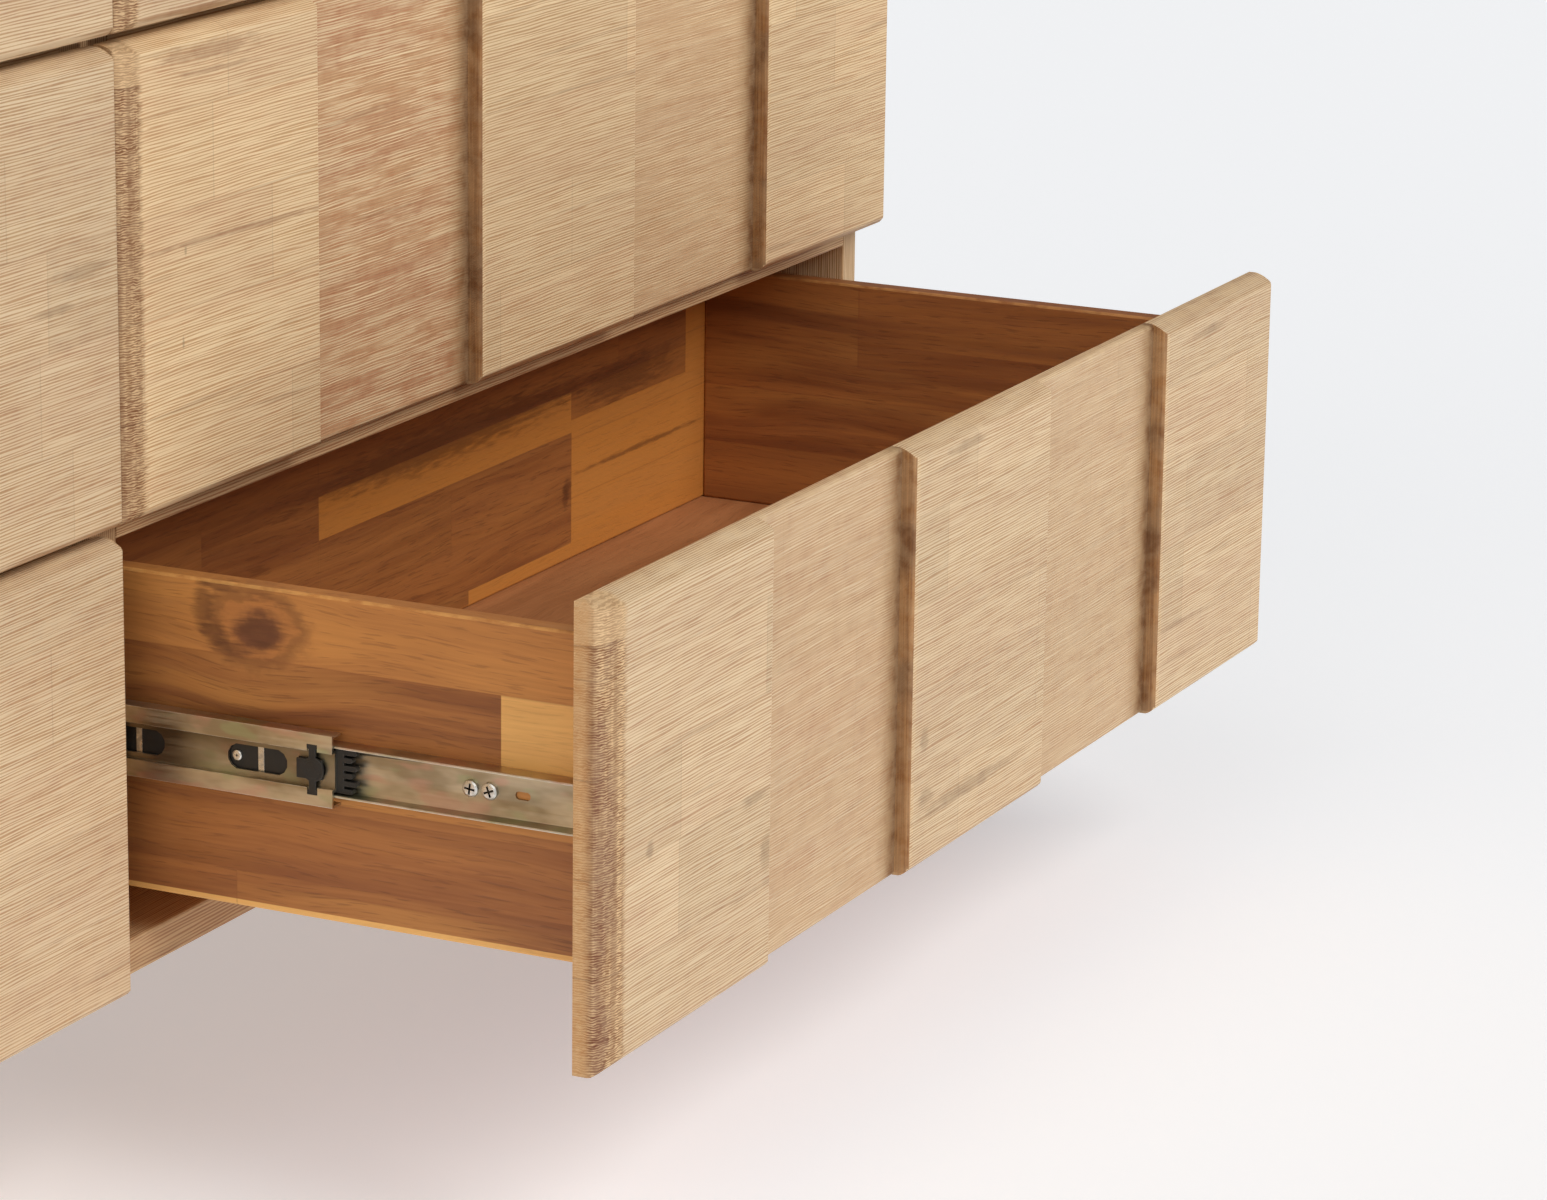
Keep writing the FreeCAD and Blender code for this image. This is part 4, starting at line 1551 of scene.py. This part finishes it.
@dataclass
class Carcase:
    """The chest's fixed boards, legs, glides and the runners' fixed members."""

    easing: float = 0.0015
    leg_easing: float = 0.003
    back_easing: float = 0.001
    glide_easing: float = 0.0008
    bend: float = 0.0005
    first_turn: float = 0.2
    turn_step: float = 0.9
    head: ScrewHead = field(default_factory=ScrewHead)
    grains: tuple[tuple[str, Grain], ...] = (
        ("top_panel", Grain.ALONG_X_FLAT), ("side_panel_left", Grain.ALONG_Z),
        ("side_panel_right", Grain.ALONG_Z), ("partitions", Grain.ALONG_Z),
        ("bottom_panel", Grain.ALONG_X_FLAT), ("front_rails", Grain.ALONG_X),
        ("legs", Grain.ALONG_Z_FLAT), ("centre_leg", Grain.ALONG_Z_FLAT))

    def build(self, effects: Effects, hardware: Hardware) -> None:
        """Builds and dresses the fixed parts.

        Args:
            effects: The shared shader groups.
            hardware: The shared materials.
        """
        boards = []
        for index, (node, grain) in enumerate(self.grains):
            seat = Seat(tuple(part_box(node)[0]), grain, 3.3 + index)
            palette = LIGHTER_WOOD if node.startswith(("top", "side")) else WARMER_WOOD
            wood = BrushedWood(effects=effects, seat=seat, stave_length=0.55, stave_height=0.055, **palette)
            boards.append((node, wood, "face_wood", self.leg_easing if "leg" in node else self.easing))
        seat = Seat(tuple(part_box("back_panel")[0]), Grain.ALONG_X, 17.0)
        boards.append(("back_panel", ThinBoard(effects=effects, seat=seat), "box_board", self.back_easing))
        for node, wood, slot, easing in boards:
            eased_copy(node, node + "_wood", wood.material("finish_" + node), "chest", easing, 0.02, 3)
        eased_copy("glides", "glide_discs", hardware.plastic, "chest", self.glide_easing,
                   0.004)
        eased_copy("cabinet_runners", "cabinet_members", hardware.steel, "chest", self.bend,
                   0.02)
        self._screws(hardware.zinc)

    def _screws(self, zinc: Material) -> None:
        """Builds the cross-recessed heads that hold the fixed members, facing their drawers."""
        low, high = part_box("top_panel")
        quarter = (high.x - low.x) / 4
        source = merged_copy("cabinet_screws")
        heads = [(start, end) for _, start, end in islands(source)]
        source.free()
        caps = self.head.in_place_of(heads, lambda x: math.copysign(quarter, x) > x, self.first_turn,
                                     self.turn_step)
        finished("cabinet_screw_heads", caps, zinc, "chest", ["cabinet_screws"])


# ------------------------------------------------------------------ the studio

@dataclass(frozen=True)
class Lamp:
    """A far, soft light that shines along a direction."""

    name: str
    direction: Point
    power: float
    colour: Point
    spread: float

    def build(self) -> None:
        """Adds the light to the scene."""
        lamp = bpy.data.lights.new(self.name, "SUN")
        lamp.energy, lamp.color, lamp.angle = self.power, self.colour, math.radians(self.spread)
        lit = bpy.data.objects.new(self.name, lamp)
        lit.rotation_euler = Vector(self.direction).to_track_quat("-Z", "Y").to_euler()
        lit.location = (0, 0, 4)
        bpy.context.scene.collection.objects.link(lit)


@dataclass
class Studio:
    """A pale floor, soft light, and the camera."""

    eye: Point = (-2.04263, -1.51358, 0.96884)
    yaw: float = -64.256
    pitch: float = -15.121
    roll: float = 0.789
    focal_pixels: float = 5383.29
    centre_pixels: Spot = (766.76, 603.01)
    image: tuple[int, int] = (1547, 1200)
    floor_glow: float = 0.340
    floor_colour: Colour = (0.876, 0.856, 0.845, 1.0)
    floor_light: Colour = (0.815, 0.903, 1.0, 1.0)
    air: Colour = (1.0, 0.99, 0.975, 1.0)
    air_strength: float = 0.20
    lamps: tuple[Lamp, ...] = (Lamp("key", (0.133, 0.754, -0.643), 1.85, (1.0, 0.99, 0.975), 40.0),
                               Lamp("fill", (0.858, 0.12, -0.5), 0.70, (1.0, 0.985, 0.965), 50.0))

    def _floor(self) -> None:
        """Lays the pale floor."""
        bm = bmesh.new()
        bmesh.ops.create_grid(bm, x_segments=4, y_segments=4, size=30.0)
        mesh = bpy.data.meshes.new("studio_floor")
        bm.to_mesh(mesh)
        bm.free()
        pale = Coat("pale_floor", Roughness=0.9, Specular_IOR_Level=0.1, Base_Color=self.floor_colour,
                    Emission_Color=self.floor_light, Emission_Strength=self.floor_glow)
        mesh.materials.append(pale.material)
        floor = bpy.data.objects.new("studio_floor", mesh)
        bpy.context.scene.collection.objects.link(floor)

    def _camera(self) -> None:
        """Sets the camera from its turn, tilt and roll, and the lens's pixel measures."""
        yaw, pitch, roll = (math.radians(angle) for angle in (self.yaw, self.pitch, self.roll))
        ahead = Vector((-math.sin(yaw) * math.cos(pitch), math.cos(yaw) * math.cos(pitch), math.sin(pitch)))
        level = ahead.cross(Vector((0, 0, 1))).normalized()
        plumb = level.cross(ahead)
        right = math.cos(roll) * level + math.sin(roll) * plumb
        above = -math.sin(roll) * level + math.cos(roll) * plumb
        data = bpy.data.cameras.new("camera")
        data.sensor_width = 36.0
        data.lens = self.focal_pixels * data.sensor_width / self.image[0]
        data.shift_x = (self.image[0] / 2 - self.centre_pixels[0]) / self.image[0]
        data.shift_y = (self.centre_pixels[1] - self.image[1] / 2) / self.image[0]
        data.clip_end = 100.0
        camera = bpy.data.objects.new("camera", data)
        turn = Matrix((right, above, -ahead)).transposed().to_4x4()
        camera.matrix_world = Matrix.Translation(Vector(self.eye)) @ turn
        bpy.context.scene.collection.objects.link(camera)
        bpy.context.scene.camera = camera

    def build(self) -> None:
        """Builds the floor, the light and the camera."""
        self._floor()
        world = bpy.data.worlds.new("studio_air")
        bpy.context.scene.world = world
        world.use_nodes = True
        background = world.node_tree.nodes["Background"]
        background.inputs["Color"].default_value = self.air
        background.inputs["Strength"].default_value = self.air_strength
        for lamp in self.lamps:
            lamp.build()
        self._camera()
        bpy.context.scene.view_settings.view_transform = "Standard"


# ------------------------------------------------------------------ the looks given one by one

OPEN_DRAWER = (Row.BOTTOM, Column.RIGHT)
LIGHTER_WOOD = {"cream": paint(246, 218, 174), "tan": paint(198, 154, 105), "pink": paint(195, 144, 108)}
WARMER_WOOD = {"cream": paint(224, 190, 144), "tan": paint(178, 130, 86), "pink": paint(176, 122, 86)}
FRONT_LOOKS = {
    OPEN_DRAWER: {
        "bay_pinkness": (0.60, 0.45), "end_reach": 0.0245, "end_dark": 1.0,
        "stains": (Mark(0.169, 0.062, 0.008, 0.011), Mark(0.047, 0.097, 0.005, 0.006),
                   Mark(0.157, 0.092, 0.016, 0.004), Mark(0.353, 0.069, 0.007, 0.008),
                   Mark(0.357, 0.038, 0.012, 0.007), Mark(0.410, 0.030, 0.075, 0.005),
                   Mark(0.400, 0.214, 0.030, 0.004), Mark(0.735, 0.210, 0.028, 0.004))},
    (Row.MIDDLE, Column.RIGHT): {
        **LIGHTER_WOOD, "bay_pinkness": (1.0, 0.60),
        "stains": (Mark(0.052, 0.121, 0.0015, 0.0025), Mark(0.049, 0.078, 0.0012, 0.004)),
        "veins": (Mark(0.098, 0.1232, 0.115, 0.0020), Mark(0.078, 0.212, 0.055, 0.0060),
                  Mark(0.082, 0.203, 0.046, 0.0018))},
    (Row.MIDDLE, Column.LEFT): {
        "stains": (Mark(0.802, 0.127, 0.030, 0.0045), Mark(0.780, 0.113, 0.022, 0.0030))}}
BOX_SAPWOODS = {"side_inner": {"sapwood": paint(238, 184, 108)}, "box_ends": {"sapwood": paint(206, 136, 62)}}
OPEN_BOX_MARKS = {
    "side_inner": {
        "pale_staves": (Mark(0.0265, 0.1478, 0.0271, 0.0173), Mark(0.200, 0.0436, 0.200, 0.0017)),
        "dark_staves": (Mark(0.200, 0.0770, 0.200, 0.0225),),
        "knots": (Mark(0.182, 0.178, 0.029, 0.021),),
        "burns_and_shade": (Mark(0.2120, 0.187, 0.0075, 0.0150), Mark(0.2065, 0.1745, 0.0085, 0.0100),
                  Mark(0.1975, 0.1680, 0.0130, 0.0050), Mark(0.203, 0.1975, 0.0140, 0.0036),
                  Mark(0.181, 0.178, 0.0170, 0.0115))},
    "side_outer": {
        "dark_staves": (Mark(0.1145, 0.175, 0.1145, 0.025), Mark(0.200, 0.0785, 0.200, 0.0235))},
    "box_ends": {
        "pale_staves": (Mark(0.552, 0.1460, 0.215, 0.0120), Mark(0.781, 0.1670, 0.0142, 0.0330),
                        Mark(0.7085, 0.1010, 0.0865, 0.0330), Mark(0.6475, 0.0635, 0.1475, 0.0048)),
        "dark_staves": (Mark(0.480, 0.1015, 0.142, 0.032), Mark(0.180, 0.130, 0.157, 0.070),
                        Mark(0.552, 0.1800, 0.215, 0.0220), Mark(0.6945, 0.1500, 0.0725, 0.0085)),
        "burns_and_shade": (Mark(0.480, 0.1600, 0.190, 0.0150), Mark(0.690, 0.1550, 0.080, 0.0150),
                  # Painted shade under the rail above, darkest at the board's top.
                  Mark(0.420, 0.2020, 0.160, 0.0260), Mark(0.640, 0.2020, 0.150, 0.0260),
                  Mark(0.7085, 0.1085, 0.100, 0.0020), Mark(0.6170, 0.1020, 0.0065, 0.0085),
                  Mark(0.6150, 0.0970, 0.0050, 0.0080), Mark(0.465, 0.0625, 0.012, 0.0040))}}


def build_drawers(effects: Effects, hardware: Hardware) -> None:
    """Builds the six drawers, each with its front, box and moving runner members.

    Args:
        effects: The shared shader groups.
        hardware: The shared materials.
    """
    for number, row in enumerate(Row):
        for side, column in enumerate(Column):
            seed = 1.0 + number * 2 + side
            wood = BlockFrontWood(effects=effects, seat=Seat(seed=seed), **FRONT_LOOKS.get((row, column), {}))
            BlockFront(row, column).build(wood)
            marks = OPEN_BOX_MARKS if (row, column) == OPEN_DRAWER else {}
            DrawerBox(row, column, marks).build(effects, seed * 1.7)
            DrawerRunners(row, column).build(hardware)
            log.info("%s %s drawer built", row.value, column.value)


def main() -> None:
    """Builds the studio, the carcase and the drawers."""
    logging.basicConfig(level=logging.INFO, format="%(name)s: %(message)s")
    effects = Effects()
    hardware = Hardware(steel=ZincSteel(effects=effects).material("zinc_sheet"),
                        zinc=BrightZinc(effects=effects).material("bright_zinc"),
                        plastic=BlackPlastic(effects=effects).material("black_moulding"))
    Studio().build()
    Carcase().build(effects, hardware)
    build_drawers(effects, hardware)


if __name__ == "__main__":
    main()
